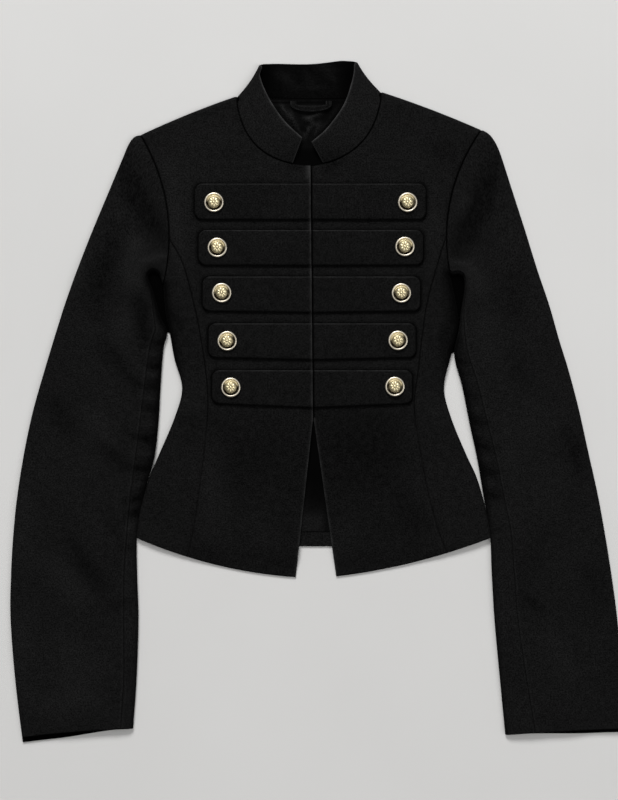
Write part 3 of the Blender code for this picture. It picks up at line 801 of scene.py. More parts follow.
class Bench:
    """A node tree under work: adds nodes and links them in a line or two."""

    def __init__(self, tree: NodeTree) -> None:
        """Takes up a tree."""
        self.tree = tree

    def node(self, kind: str, **settings: object) -> Node:
        """A new node of a type, with the values of its properties."""
        made = self.tree.nodes.new(kind)
        for key, value in settings.items():
            setattr(made, key, value)
        return made

    def feed(self, socket: NodeSocket, value: object) -> None:
        """Links another socket to a socket, or sets its value."""
        if isinstance(value, NodeSocket):
            self.tree.links.new(value, socket)
        else:
            socket.default_value = value

    def math(self, operation: str, *values: object) -> NodeSocket:
        """The result of a sum, named as the node has it, on sockets or numbers."""
        made = self.node("ShaderNodeMath", operation=operation)
        for socket, value in zip(made.inputs, values):
            self.feed(socket, value)
        return made.outputs[0]

    def fill(self, node: Node, values: dict[str, object]) -> None:
        """Feeds several sockets of a node, by their names."""
        for name, value in values.items():
            self.feed(node.inputs[name], value)

    def mask(self, name: str) -> NodeSocket:
        """A mask that the mesh carries."""
        return self.node("ShaderNodeAttribute", attribute_name=name).outputs["Fac"]

    def bump(self, height: NodeSocket, strength: float, depth: float) -> NodeSocket:
        """A normal that follows a height, by a strength and a depth in millimetres."""
        made = self.node("ShaderNodeBump")
        self.fill(made, {"Strength": strength, "Distance": depth * MM, "Height": height})
        return made.outputs["Normal"]

    def mix(self, share: object, first: object, second: object) -> NodeSocket:
        """A colour between two, by how much of the second there is."""
        made = self.node("ShaderNodeMix", data_type="RGBA")
        for name, value in (("Factor_Float", share), ("A_Color", first), ("B_Color", second)):
            self.feed(next(s for s in made.inputs if s.identifier == name), value)
        return next(s for s in made.outputs if s.identifier == "Result_Color")

    def noise(self, where: NodeSocket, scale: float, detail: float = 2.0) -> NodeSocket:
        """Soft noise about 0.5: its coordinates, features to a metre and finer layers."""
        made = self.node("ShaderNodeTexNoise")
        self.fill(made, {"Vector": where, "Scale": scale, "Detail": detail})
        return made.outputs["Fac"]


class WeaveGroup:
    """A shader group of woven cloth: twill threads, loose fibres and nap, along the flat cloth."""

    waver_scale = 420.0
    waver = 0.9
    nap_scale = 600.0
    fibre_scale = 2600.0
    fibre_relief = 0.5
    thread_relief = 0.5
    thread_tone = 0.12
    nap_tone = 0.88

    def __init__(self) -> None:
        """Builds the group once."""
        self.tree = bpy.data.node_groups.new("woven_threads", "ShaderNodeTree")
        sockets = self.tree.interface
        sockets.new_socket("Grain", in_out="INPUT", socket_type="NodeSocketVector")
        for way, names in (("INPUT", ("Threads", "Nap")), ("OUTPUT", ("Tone", "Height"))):
            for name in names:
                sockets.new_socket(name, in_out=way, socket_type="NodeSocketFloat")
        bench = Bench(self.tree)
        given = bench.node("NodeGroupInput").outputs
        uneven = bench.math("MULTIPLY", bench.noise(given["Grain"], self.waver_scale), self.waver)
        split = bench.node("ShaderNodeSeparateXYZ")
        bench.feed(split.inputs[0], given["Grain"])
        place = [bench.math("MULTIPLY_ADD", split.outputs[k], given["Threads"], uneven) for k in (0, 1)]
        turn = [bench.math("MULTIPLY", bench.math("FRACT", p), math.pi) for p in place]
        thread = [bench.math("SINE", t) for t in turn]
        count = bench.math("ADD", *(bench.math("FLOOR", p) for p in place))
        over = bench.math("LESS_THAN", bench.math("FLOORED_MODULO", count, 4.0), 2.0)
        warp_top = bench.math("MULTIPLY", thread[0], over)
        weft_top = bench.math("MULTIPLY", thread[1], bench.math("SUBTRACT", 1.0, over))
        woven = bench.math("ADD", warp_top, weft_top)
        nap = bench.noise(given["Grain"], self.nap_scale, 4.0)
        fibre = bench.noise(given["Grain"], self.fibre_scale, 2.0)
        napped = bench.math("MULTIPLY", nap, given["Nap"])
        soft = bench.math("ADD", napped, bench.math("MULTIPLY", fibre, self.fibre_relief))
        height = bench.math("ADD", bench.math("MULTIPLY", woven, self.thread_relief), soft)
        flecks = bench.math("MULTIPLY", nap, self.nap_tone)
        flecks = bench.math("MULTIPLY_ADD", woven, self.thread_tone, flecks)
        bench.fill(bench.node("NodeGroupOutput"), {"Height": height, "Tone": flecks})

    def place(self, bench: Bench, threads: float, nap: float) -> Node:
        """Puts the group in a material, with its threads to a metre and how much the nap stands out."""
        made = bench.node("ShaderNodeGroup", node_tree=self.tree)
        grain = bench.node("ShaderNodeUVMap", uv_map="grain")
        bench.fill(made, {"Grain": grain.outputs["UV"], "Threads": threads, "Nap": nap})
        return made


def grey(value: float, warmth: float = 0.0) -> Colour:
    """A near grey colour, a little warm or cool."""
    return (value * (1.0 + warmth), value, value * (1.0 - warmth), 1.0)


def new_material(name: str) -> tuple[Material, Bench, Node]:
    """A material with its bench and its shader."""
    material = bpy.data.materials.new(name)
    material.use_nodes = True
    return material, Bench(material.node_tree), material.node_tree.nodes["Principled BSDF"]


@dataclass(frozen=True)
class ClothFinish:
    """Woven cloth: its colours, threads, nap and sheen, with painted shade, light and highlight from its
    masks.
    """

    name: str
    dark: Colour
    light: Colour
    # The pale colour of rubbed nap and painted highlight.
    worn: Colour
    threads: float
    nap: float
    roughness: float
    specular: float
    sheen: float
    relief: float
    # How much the tone and painted light mask brightens and darkens the cloth.
    lean: float
    # The near-black colour of painted shade.
    painted_shade_colour: Colour = (0.0006, 0.0006, 0.0006, 1.0)
    clouds: tuple[float, float] = (14.0, 0.4)
    mottle: tuple[float, float] = (150.0, 1.0)
    flecks: tuple[float, float] = (0.37, 0.63)
    highlight_gain: tuple[float, float] = (0.8, 0.3)
    sheen_roughness: float = 0.45
    sheen_tone: float = 0.7
    bump: float = 0.6

    def material(self, weave: WeaveGroup) -> Material:
        """The material.

        Args:
            weave: The shader group of the threads.

        Returns:
            The finished material.
        """
        material, bench, shader = new_material(self.name)
        woven = weave.place(bench, self.threads, self.nap)
        grain = bench.node("ShaderNodeUVMap", uv_map="grain").outputs["UV"]
        patches = []
        for scale, much in (self.clouds, self.mottle):
            patches.append(bench.math("MULTIPLY_ADD", bench.noise(grain, scale, 3.0), much, -much / 2))
        steep = bench.node("ShaderNodeMapRange")
        low, high = self.flecks
        bench.fill(steep, {"Value": woven.outputs["Tone"], "From Min": low, "From Max": high})
        colour = bench.mix(steep.outputs["Result"], self.dark, self.light)
        # Painted light and shade: the tone mask scales the colour, lighter on ridges and darker in troughs.
        painted_light_factor = bench.math("MULTIPLY_ADD", bench.mask("lay"), self.lean, 1.0)
        lit = bench.math("ADD", bench.math("ADD", *patches), painted_light_factor)
        painted_light_scaling = bench.node("ShaderNodeVectorMath", operation="SCALE")
        bench.fill(painted_light_scaling, {"Vector": colour, "Scale": lit})
        # Painted highlight with rubbed nap: the pale colour along edges, following the threads.
        edge = bench.math("MULTIPLY_ADD", woven.outputs["Tone"], *self.highlight_gain)
        highlight_share = bench.math("MULTIPLY", bench.mask("worn"), edge)
        colour = bench.mix(highlight_share, painted_light_scaling.outputs["Vector"], self.worn)
        # Painted shade: the shade mask mixes towards near black and makes the cloth rougher.
        painted_shade_mask = bench.mask("shade")
        bench.fill(shader, {
            "Base Color": bench.mix(painted_shade_mask, colour, self.painted_shade_colour),
            "Roughness": bench.math("MULTIPLY_ADD", painted_shade_mask, 1.0 - self.roughness, self.roughness),
            "Specular IOR Level": self.specular,
            "Sheen Weight": self.sheen,
            "Sheen Roughness": self.sheen_roughness,
            "Sheen Tint": grey(self.sheen_tone),
            "Normal": bench.bump(woven.outputs["Height"], self.bump, self.relief),
        })
        return material


@dataclass(frozen=True)
class BrassFinish:
    """Brass, paler on the rim, with painted shade in its groove and between the petals of its rosette."""

    name: str = "brass"
    bright: Colour = (0.78, 0.68, 0.43, 1.0)
    pale: Colour = (0.68, 0.62, 0.51, 1.0)
    # The dark colour of painted shade in the recesses.
    painted_shade_colour: Colour = (0.01, 0.006, 0.003, 1.0)
    roughness: float = 0.34
    recess_gain: float = 0.3
    cloudiness: float = 0.12
    cloud_scale: float = 260.0
    recess: tuple[float, float] = (0.5, 0.72)
    grit_scale: float = 1800.0
    grit: float = 0.15
    grit_depth: float = 0.1

    def material(self) -> Material:
        """The finished material."""
        material, bench, shader = new_material(self.name)
        where = bench.node("ShaderNodeTexCoord").outputs["Object"]
        recess = bench.mask("recess")
        cloudy = bench.noise(where, self.cloud_scale, 3.0)
        # Painted shade: the recess mask, a little uneven, mixes the brass towards the dark colour.
        share = bench.math("MULTIPLY", recess, bench.math("MULTIPLY_ADD", cloudy, *self.recess))
        brass_colour = bench.mix(bench.mask("rim"), self.bright, self.pale)
        dull = bench.math("MULTIPLY_ADD", recess, self.recess_gain, self.roughness)
        bench.fill(shader, {
            "Base Color": bench.mix(share, brass_colour, self.painted_shade_colour),
            "Roughness": bench.math("MULTIPLY_ADD", cloudy, self.cloudiness, dull),
            "Metallic": 1.0,
            "Normal": bench.bump(bench.noise(where, self.grit_scale, 2.0), self.grit, self.grit_depth),
        })
        return material


@dataclass(frozen=True)
class PlainFinish:
    """A dull finish that is uneven between two colours."""

    name: str
    first: Colour
    second: Colour
    scale: float
    detail: float
    roughness: float
    specular: float

    def material(self) -> Material:
        """The finished material."""
        material, bench, shader = new_material(self.name)
        where = bench.node("ShaderNodeTexCoord").outputs["Object"]
        uneven = bench.noise(where, self.scale, self.detail)
        bench.fill(shader, {
            "Base Color": bench.mix(uneven, self.first, self.second),
            "Roughness": self.roughness,
            "Specular IOR Level": self.specular,
        })
        return material


SEWING_THREAD = PlainFinish("thread", grey(0.001), grey(0.004), 2400.0, 1.0, 0.8, 0.05)
PALE_FLOOR = PlainFinish("floor", (0.66, 0.655, 0.645, 1.0), (0.60, 0.595, 0.585, 1.0), 3.0, 4.0, 0.85, 0.2)


@dataclass(frozen=True)
class Wardrobe:
    """All the materials of the jacket."""

    wool: Material
    satin: Material
    brass: Material
    thread: Material

    @classmethod
    def filled(cls) -> "Wardrobe":
        """Makes the materials."""
        weave = WeaveGroup()
        wool = ClothFinish(
            "wool_cloth", dark=grey(0.0027), light=grey(0.0094), worn=grey(0.052), threads=1500.0,
            nap=1.4, roughness=0.9, specular=0.015, sheen=0.01, relief=0.4, lean=0.5,
        )
        satin = ClothFinish(
            "lining_satin", dark=grey(0.0007), light=grey(0.0056), worn=grey(0.012), threads=4200.0,
            nap=0.15, roughness=0.5, specular=0.035, sheen=0.0, relief=0.05, lean=0.9,
        )
        cloths = (wool.material(weave), satin.material(weave))
        return cls(*cloths, BrassFinish().material(), SEWING_THREAD.material())


# Pieces of cloth.


class Cut(NamedTuple):
    """The flat cut of a piece, in metres and square metres."""

    width: float
    length: float
    area: float


@dataclass
class ClothPiece:
    """A cut piece of cloth that lies where its node is."""

    node: str
    cut: Cut
    rests_on: tuple[str, ...]
    place: Place
    thickness: float = WALL
    slot: str = "cloth"

    @property
    def name(self) -> str:
        """The name of the piece in the scene."""
        return f"{self.node}_cloth"

    def face(self) -> Face:
        """The outer face, which each kind of piece works out."""
        raise NotImplementedError

    def sides(self, face: Face) -> tuple[Array, Array]:
        """The outer and the inner points of the wall."""
        return face.wall(self.thickness)

    def shares(self, across_step: float, down_step: float) -> tuple[Array, Array]:
        """Shares of a grid's columns and rows, close together at the edges of the cut."""
        width, length = self.cut.width / MM, self.cut.length / MM
        return spread(width, across_step) / width, spread(length, down_step) / length

    def build(self, material: Material) -> Object:
        """Args:
            material: Its cloth.

        Returns:
            The piece.
        """
        face = self.face()
        piece = shell(self.name, face, self.sides(face), self.place)
        piece.data.materials.append(material)
        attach(piece, "root")
        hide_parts(self.node)
        self.report(piece, face)
        return piece

    def report(self, piece: Object, face: Face) -> None:
        """Logs the piece's size against its node.

        Args:
            piece: The piece.
            face: Its outer face.
        """
        low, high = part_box(self.node)
        corners = np.array([corner[:] for corner in piece.bound_box])
        proud = max((np.array(low) - corners.min(0)).max(), (corners.max(0) - np.array(high)).max())
        spans = [np.linalg.norm(np.diff(face.points, axis=k), axis=-1).sum(k).max() for k in (1, 0)]
        sides = (np.diff(face.points[:-1], axis=1), np.diff(face.points[:, :-1], axis=0))
        area = np.linalg.norm(np.cross(*sides), axis=-1).sum()
        LOG.info(
            "%s: %d faces, %.1f mm proud of its solid, cloth %.0f x %.0f mm, %.4f m2",
            self.name, len(piece.data.polygons), proud / MM, *spans, area * MM * MM,
        )


UNDER_ARM_FOOT = {Side.RIGHT: 96.5, Side.LEFT: 73.0}
SLIT_SHADE = {Side.RIGHT: (0.95, 5.0), Side.LEFT: (0.5, 3.0)}


def under_arm(side: Side) -> Array:
    """The inner edge of a sleeve beside the slit under the arm, from top to bottom."""
    rows = smoothed([(row.inner_x, row.inner_y) for row in SLEEVES[side][2:10]], 8)
    return rows[rows[:, 1] > UNDER_ARM_FOOT[side]]


@dataclass
class BackPiece(ClothPiece):
    """The back, flat on the surface, with the cloth under each arm."""

    notch_start: float = 0.9
    tuck_under: float = 1.2
    tuck_wall: float = 0.9
    off_tuck: Ramp = Ramp(1.5, 4.0)
    inside: Ramp = Ramp(40.0, 30.0)
    seam_lap: float = 1.6
    arm_end: float = 0.34
    notch_from: float = 0.37
    notch_to: float = 0.49
    side_from: float = 0.51
    neck_from: float = 0.3
    neck_to: float = 0.7
    neck_dip: float = 9.4
    step: float = 4.0

    def edge(self, side: Side) -> Curve:
        """The side of the back, from the shoulder tip to the hem.

        Args:
            side: Which side it is.

        Returns:
            The outline.
        """
        draft = DRAFTS[side]
        notch = under_arm(side)
        notch = notch[np.argmax(notch[:, 1]):]
        run = np.gradient(notch, axis=0)
        across = run @ ((0.0, 1.0), (-1.0, 0.0))
        notch = notch + side.out * self.tuck_under * across / np.hypot(*run.T)[:, None]
        lap = np.array((-side.out * self.seam_lap, 0.0))
        seam = part_of(draft.armhole(), 0.0, self.notch_start)
        shares = np.linspace(0.0, 1.0, OUTLINE_STEPS)
        start = np.interp(-UNDER_ARM_FOOT[side], -draft.side_fold()(shares)[:, 1], shares)
        lower = part_of(draft.side_fold(), float(start), 1.0)
        return chain(
            (self.arm_end, lambda t: seam(t) + lap),
            (self.notch_from, arc(seam(1.0) + lap, notch[0])),
            (self.notch_to, through(notch)),
            (self.side_from, arc(notch[-1], lower(0.0))),
            (1.0, lower),
        )

    def face(self) -> Face:
        """A flat grid from the shoulders to the hem."""
        right, left = DRAFTS[Side.RIGHT], DRAFTS[Side.LEFT]
        top = chain(
            (self.neck_from, right.shoulder()),
            (self.neck_to, arc(right.corners.neck_side, left.corners.neck_side, -self.neck_dip)),
            (1.0, part_of(left.shoulder(), 1.0, 0.0)),
        )
        bottom = arc(right.corners.side_hem, left.corners.side_hem, -right.back_hem_bow)
        shares = self.shares(self.step, self.step)
        points = patch(top, bottom, self.edge(Side.RIGHT), self.edge(Side.LEFT), shares)
        roll = rolled(distance(points, bottom), FREE_ROLL)
        to_sleeve = np.minimum(*(nearest(points, under_arm(side))[0] for side in Side))
        level = self.tuck_wall + (self.thickness - self.tuck_wall) * self.off_tuck.at(to_sleeve)
        # Painted shade over the back where it lies under the fronts and shows in the slits under the arms.
        shade = self.inside.at(points[..., 1])
        return Face(with_height(points, level), points, roll, 0.0, shade=shade)


@dataclass
class LiningPiece(ClothPiece):
    """The lining inside the back, crumpled at the neck."""

    step: float = 2.6
    at_neck: Ramp = Ramp(294.0, 10.0)
    in_opening: Ramp = Ramp(-58.0, -70.0)
    opening_light: float = 0.9
    by_hem: Ramp = Ramp(-78.0, -50.0)
    hem_light: float = 1.7
    crease_light: float = 1.3
    flat_tone: float = -0.9
    tape_y: float = 349.6
    tape_width: float = 0.7
    tape_groove: float = 0.4
    tape_shade: float = 0.9
    to_left: Ramp = Ramp(5.0, 14.0)
    left_shade: float = 0.75
    shade_band_x: float = -13.0
    shade_band_width: float = 6.0
    shade_band_strength: float = 0.3
    top_shade_width: float = 1.2
    off_back: float = 0.1
    slack: Slack = Slack(0.3)

    @property
    def name(self) -> str:
        """The name of the piece in the scene."""
        return "back_lining_satin"

    def face(self) -> Face:
        """A thin grid on the back."""
        edges = {side: through([row.spot(side) for row in LINING_SIDE]) for side in Side}
        right, left = edges[Side.RIGHT], edges[Side.LEFT]
        top = arc(right(0.0), left(0.0))
        bottom = arc(right(1.0), left(1.0), -DRAFTS[Side.RIGHT].back_hem_bow)
        points = patch(top, bottom, right, left, self.shares(self.step, self.step))
        level = EDGE_Z + self.thickness + lift_of(LINING_CREASES, points)
        x, y = points[..., 0], points[..., 1]
        tape = bell(y - self.tape_y, self.tape_width)
        level = level + np.maximum(self.slack.lift(points), 0.0) - self.tape_groove * tape
        to_top = distance(points, top)
        inset = np.minimum(distance(points, bottom), to_top)
        # Painted shade where the lining lies under the fronts and the collar, less in the opening below.
        covered = 1.0 - self.at_neck.at(y)
        covered = covered * (1.0 - self.opening_light * self.in_opening.at(y))
        # More painted shade on the wearer's left, in a band just right of the middle, and along the top and
        # tape.
        aside = self.left_shade * self.to_left.at(x)
        aside = aside + self.shade_band_strength * bell(x - self.shade_band_x, self.shade_band_width)
        at_top = bell(to_top, self.top_shade_width)
        shade = np.maximum.reduce([covered, aside, at_top, self.tape_shade * tape])
        # Tone and painted light: lighter on the creases, darker elsewhere, and lighter towards the hem.
        lay = self.crease_light * lift_of(LINING_CREASES, points) + self.flat_tone
        lay = np.clip(lay + self.hem_light * self.by_hem.at(y), -1.0, 1.0)
        roll, lowest = rolled(inset, FREE_ROLL), WALL + self.off_back
        return Face(with_height(points, level), points, roll, lowest, shade=shade, lay=lay)


LINING_SIDE = (
    SideRow(353.6, -73, 69),
    SideRow(260, -112, 108),
    SideRow(168, -138, 136),
    SideRow(100, -140, 140),
    SideRow(35, -128, 131),
    SideRow(-37, -150, 153),
    SideRow(-113, -174, 177),
)
LINING_CREASES = (
    Crease((-34, 344), (-14, 318), 3.4, 2.2, bow=3, steep=0.5),
    Crease((-22, 342), (-8, 312), 2.6, 1.5, bow=-2),
    Crease((28, 344), (8, 316), 3.4, 2.4, bow=3, steep=0.5),
    Crease((16, 338), (-6, 327), 2.4, 2, bow=-2, steep=0.6),
    Crease((-12, 333), (8, 322), 2.2, 1.8, bow=2),
    Crease((4, 326), (-8, 306), 2.6, 1.9, bow=-2, steep=0.6),
    Crease((12, 330), (2, 310), 2, 1.3),
    Crease((-36, 352), (-24, 330), 2.8, 1.4),
    Crease((34, 351), (24, 332), 2.8, 1.5),
    Crease((-14, 322), (-2, 314), 2, -1),
    Crease((-4, 40), (6, -64), 5, 1, bow=4),
    Crease((10, -30), (-8, -110), 6, 0.8, bow=-5),
    Crease((-30, -108), (22, -110), 6, 0.8, bow=-2),
)


@dataclass
class FrontPiece(ClothPiece):
    """A centre front panel, from the shoulder and neck to the pointed hem."""

    side: Side = Side.RIGHT
    seam_share: float = 0.27
    shoulder_share: float = 0.58
    fade: float = 2.2
    tab_groove: float = 0.9
    tab_groove_reach: float = 1.8
    tab_depth: float = 0.6
    end_shade_strength: float = 0.25
    end_reach: float = 0.6
    tab_end: Ramp = Ramp(-8.0, 6.0)
    tab_clear: float = 3.0
    highlight_width: float = 3.6
    edge_highlight: float = 1.3
    waist_highlight: float = 0.7
    chest_highlight: float = 0.8
    up_chest: Ramp = Ramp(60.0, 120.0)
    top_highlight: float = 0.6
    top_reach: float = 4.0
    at_top: Ramp = Ramp(262.0, 6.0)
    lap_foot: float = 2.0
    lap_shade: float = 0.9
    lap_reach: float = 1.2
    across_step: float = 2.7
    step: float = 2.2

    def tab_shade(self, points: Array) -> Array:
        """Painted shade on the front round its tabs: most of all at their outer ends."""
        shades = []
        for tab in TABS:
            by_end = self.tab_end.at(points[..., 0] * self.side.out - abs(tab.end(self.side)))
            reach = self.tab_groove_reach * (1.0 + self.end_reach * by_end)
            depth = self.tab_depth + self.end_shade_strength * by_end
            shades.append(depth * bell(tab_inset(self.side, tab, points), reach))
        return np.maximum.reduce(shades)

    def worn(self, y: Array, to_edge: Array) -> Array:
        """Rubbed nap and painted highlight, by the height up the body and the distance to the front edge.
        """
        strength = self.edge_highlight * unevenness_along_edge(y) * (self.waist_highlight + self.chest_highlight * self.up_chest.at(y))
        worn = strength * rolled(to_edge, self.highlight_width)
        # None on the left front where the right front laps it; on the right front, more at the top by the
        # neck.
        if self.side is Side.LEFT:
            return np.where(y > self.lap_foot, 0.0, worn)
        return np.maximum(worn, self.top_highlight * self.at_top.at(y) * bell(to_edge, self.top_reach))

    def face(self) -> Face:
        """The panel between the front seam and the front edge."""
        draft = DRAFTS[self.side]
        top = chain((self.shoulder_share, draft.shoulder()), (1.0, draft.neckline()))
        bottom = part_of(draft.hem(), draft.seam_end, 1.0)
        arm = part_of(draft.armhole(), 0.0, draft.seam_start)
        outer_edge = chain((self.seam_share, arm), (1.0, draft.front_seam()))
        shares = self.shares(self.across_step, self.step)
        points = patch(top, bottom, outer_edge, draft.front_edge(), shares, self.fade)
        seams = np.minimum(distance(points, outer_edge), distance(points, draft.neckline()))
        to_edge, to_hem = distance(points, draft.front_edge()), distance(points, draft.hem())
        roll = np.maximum(rolled(seams, SEAM_ROLL), rolled(np.minimum(to_edge, to_hem), FREE_ROLL))
        to_tab = np.minimum.reduce([np.abs(tab_inset(self.side, tab, points)) for tab in TABS])
        height = draft.height(points) - self.tab_groove * bell(to_tab, self.tab_groove_reach)
        y = points[..., 1]
        lapped = (y > self.lap_foot) & (self.side is Side.LEFT)
        # Painted shade along seams and hem, round the tabs, and on the left front under the right front's
        # edge.
        shade = np.maximum.reduce([
            draft.edge_shade(points, seams, to_hem),
            self.tab_shade(points) * (to_edge > self.tab_clear),
            self.lap_shade * lapped * bell(to_edge, self.lap_reach),
        ])
        masks = (self.worn(y, to_edge), shade, draft.lay(points))
        face = Face(with_height(points, height), points, roll, draft.lowest(points), *masks)
        return face.flipped() if self.side is Side.LEFT else face


@dataclass
class SideFrontPiece(ClothPiece):
    """A side panel between the side fold and the front seam, under the armhole."""

    side: Side = Side.RIGHT
    step: float = 2.2

    def face(self) -> Face:
        """The panel, which laps the front's edge at their seam."""
        draft = DRAFTS[self.side]
        arm = part_of(draft.armhole(), draft.seam_start, 1.0)
        lower = part_of(draft.hem(), 0.0, draft.seam_end)
        shares = self.shares(self.step, self.step)
        upper = part_of(arm, 1.0, 0.0)
        points = patch(upper, lower, draft.side_fold(), draft.front_seam(), shares)
        lap = np.array((-self.side.out * SEAM_LAP, 0.0))
        points = points + lap * shares[0][None, :, None]
        seams = np.minimum(distance(points, lambda t: draft.front_seam()(t) + lap), distance(points, arm))
        to_hem = distance(points, draft.hem())
        roll = np.maximum(rolled(seams, SEAM_ROLL), rolled(to_hem, FREE_ROLL))
        # Painted shade along seams and hem, and where the side turns down under the arm.
        shade = np.maximum(draft.edge_shade(points, seams, to_hem), draft.side_shade(points))
        masks = (0.0, shade, draft.lay(points))
        face = Face(with_height(points, draft.height(points)), points, roll, draft.lowest(points), *masks)
        return face.flipped() if self.side is Side.LEFT else face


class Section(NamedTuple):
    """A line across a sleeve: its ends, its bow towards the body, its front seam and its height."""

    outer_x: float
    outer_y: float
    inner_x: float
    inner_y: float
    bow: float
    seam_in: float
    loft: float

    def width(self) -> float:
        """Its straight length."""
        return math.hypot(self.outer_x - self.inner_x, self.outer_y - self.inner_y)


SLEEVES = {
    Side.RIGHT: (
        Section(-195, 311.4, -163.8, 150.5, 16.3, 2.5, 7.6),
        Section(-201, 303.5, -165.2, 155.5, 16.5, 2.5, 7.6),
        Section(-208, 287, -168.2, 160.5, 16.5, 2.5, 7.5),
        Section(-224.5, 247.5, -174, 163.5, 10, 2.5, 7.2),
        Section(-242, 205.5, -179.4, 157, 4.5, 2.5, 7),
        Section(-258.5, 163, -173.4, 140, 1, 3, 7),
        Section(-271.5, 126.5, -165.6, 113, 0, 7, 7),
        Section(-277, 109, -158.2, 97, 0, 13.5, 7),
        Section(-282.5, 91.5, -162.4, 78, 0, 15, 7),
        Section(-293.5, 55, -165.5, 37.5, 0, 17.5, 7),
        Section(-306, 11, -168, -4.5, 0, 20, 7),
        Section(-315.5, -33, -172.5, -42, 0, 20.5, 7),
        Section(-323.5, -82.5, -183.3, -80.5, 0, 15, 7),
        Section(-328, -126.5, -191.2, -121, 0, 11, 7),
        Section(-330.5, -170.5, -191.5, -167, 0, 14, 6.8),
        Section(-331, -220, -190, -218, 0, 16, 6.6),
        Section(-325.5, -290, -192, -283, 0, 14, 6),
        Section(-317.5, -349.4, -196, -340, 1.8, 13.5, 5.4),
    ),
    Side.LEFT: (
        Section(192, 317.6, 155.6, 160.2, 16.3, 2.5, 7.6),
        Section(199, 311.8, 158.8, 160.8, 16.5, 2.5, 7.6),
        Section(207.6, 296, 164, 160.6, 16.5, 2.5, 7.5),
        Section(221, 255, 168.4, 156, 10, 2.5, 7.2),
        Section(235.5, 210, 168.9, 143, 4.5, 2.5, 7),
        Section(249.5, 165, 165.6, 123, 1, 3, 7),
        Section(262.5, 126.5, 162.5, 99, 0, 6.5, 7),
        Section(273.5, 88, 157.6, 72, 0, 15, 7),
        Section(284, 54, 166.3, 37.5, 0, 17, 7),
        Section(295, 12, 174.5, -3.5, 0, 19, 7),
        Section(305, -33, 183, -43, 0, 20.5, 7),
        Section(316, -82.5, 189.6, -82.5, 0, 22, 7),
        Section(324, -126.5, 196.8, -123, 0, 23, 7),
        Section(331, -170.5, 199, -169.5, 0, 24.5, 6.8),
        Section(337.5, -220, 202, -220, 0, 25.5, 6.6),
        Section(343.5, -285, 208, -285, 0, 29, 6),
        Section(345.5, -340, 214, -347, 1, 33, 5.4),
    ),
}

SLEEVE_CREASES = {
    Side.RIGHT: (
        Crease((-214, 314), (-146, 178), 14, -1.9, bow=-10, steep=0.85),
        Crease((-154, 180), (-192, 168), 5, 1.4, bow=-2, peak=0.4),
        Crease((-194, 206), (-198, 132), 13, 2, bow=3, peak=0.45),
        Crease((-207, 226), (-240, 98), 15, -1.3, bow=-4),
        Crease((-190, 150), (-180, 58), 10, -1.6),
        Crease((-252, 200), (-268, 130), 9, 1.2),
        Crease((-208, 128), (-216, 70), 13, 0.9, bow=5),
        Crease((-240, 92), (-188, 22), 12, -1.2, bow=6, steep=0.7),
        Crease((-286, 40), (-258, -30), 15, -0.9, bow=-6),
        Crease((-236, -20), (-196, -54), 9, -1, bow=-5, peak=0.6),
        Crease((-250, 20), (-214, -34), 13, 0.9),
        Crease((-272, -118), (-214, -196), 13, -1.2, bow=-6, steep=0.7),
        Crease((-244, -92), (-202, -142), 10, -0.7, bow=4, peak=0.6),
        Crease((-288, -140), (-240, -214), 15, 0.8, bow=-4),
        Crease((-290, -226), (-230, -300), 26, 0.7, bow=-4),
        Crease((-316, -196), (-322, -330), 15, 0.8),
        Crease((-318, -318), (-214, -306), 16, 0.8),
        Crease((-314, -60), (-316, -176), 14, 0.7),
        Crease((-196, -198), (-226, -214), 6, -0.9, peak=0.35),
    ),
    Side.LEFT: (
        Crease((208, 322), (148, 168), 12, -2.4, bow=10, peak=0.58, steep=1.2),
        Crease((150, 172), (176, 167), 4.5, 1.3, bow=2, peak=0.4),
        Crease((168, 176), (196, 130), 11, 1.9, bow=-3, peak=0.4),
        Crease((214, 176), (244, 96), 16, -0.7, bow=-6),
        Crease((190, 128), (206, 60), 15, 0.6, bow=-5),
        Crease((172, 252), (166, 214), 8, 1),
        Crease((222, 84), (226, 30), 13, -0.7, bow=4),
        Crease((236, 34), (250, -30), 14, 0.4, bow=-4),
        Crease((272, -2), (300, -74), 13, -1.2, bow=5, steep=0.8),
        Crease((250, -48), (276, -120), 16, 0.2),
        Crease((212, 26), (222, -84), 11, 0.6),
        Crease((262, -110), (214, -190), 14, -0.45, bow=5),
        Crease((228, -186), (262, -216), 7, -0.8, bow=-3),
        Crease((300, -150), (316, -236), 15, -0.6, bow=6),
        Crease((254, -220), (290, -296), 15, 0.6),
    ),
}


class Pucker(NamedTuple):
    """A short wrinkle across the inner edge of a sleeve: its height up the sleeve and its size."""

    y: float
    reach: float
    slant: float
    width: float
    height: float


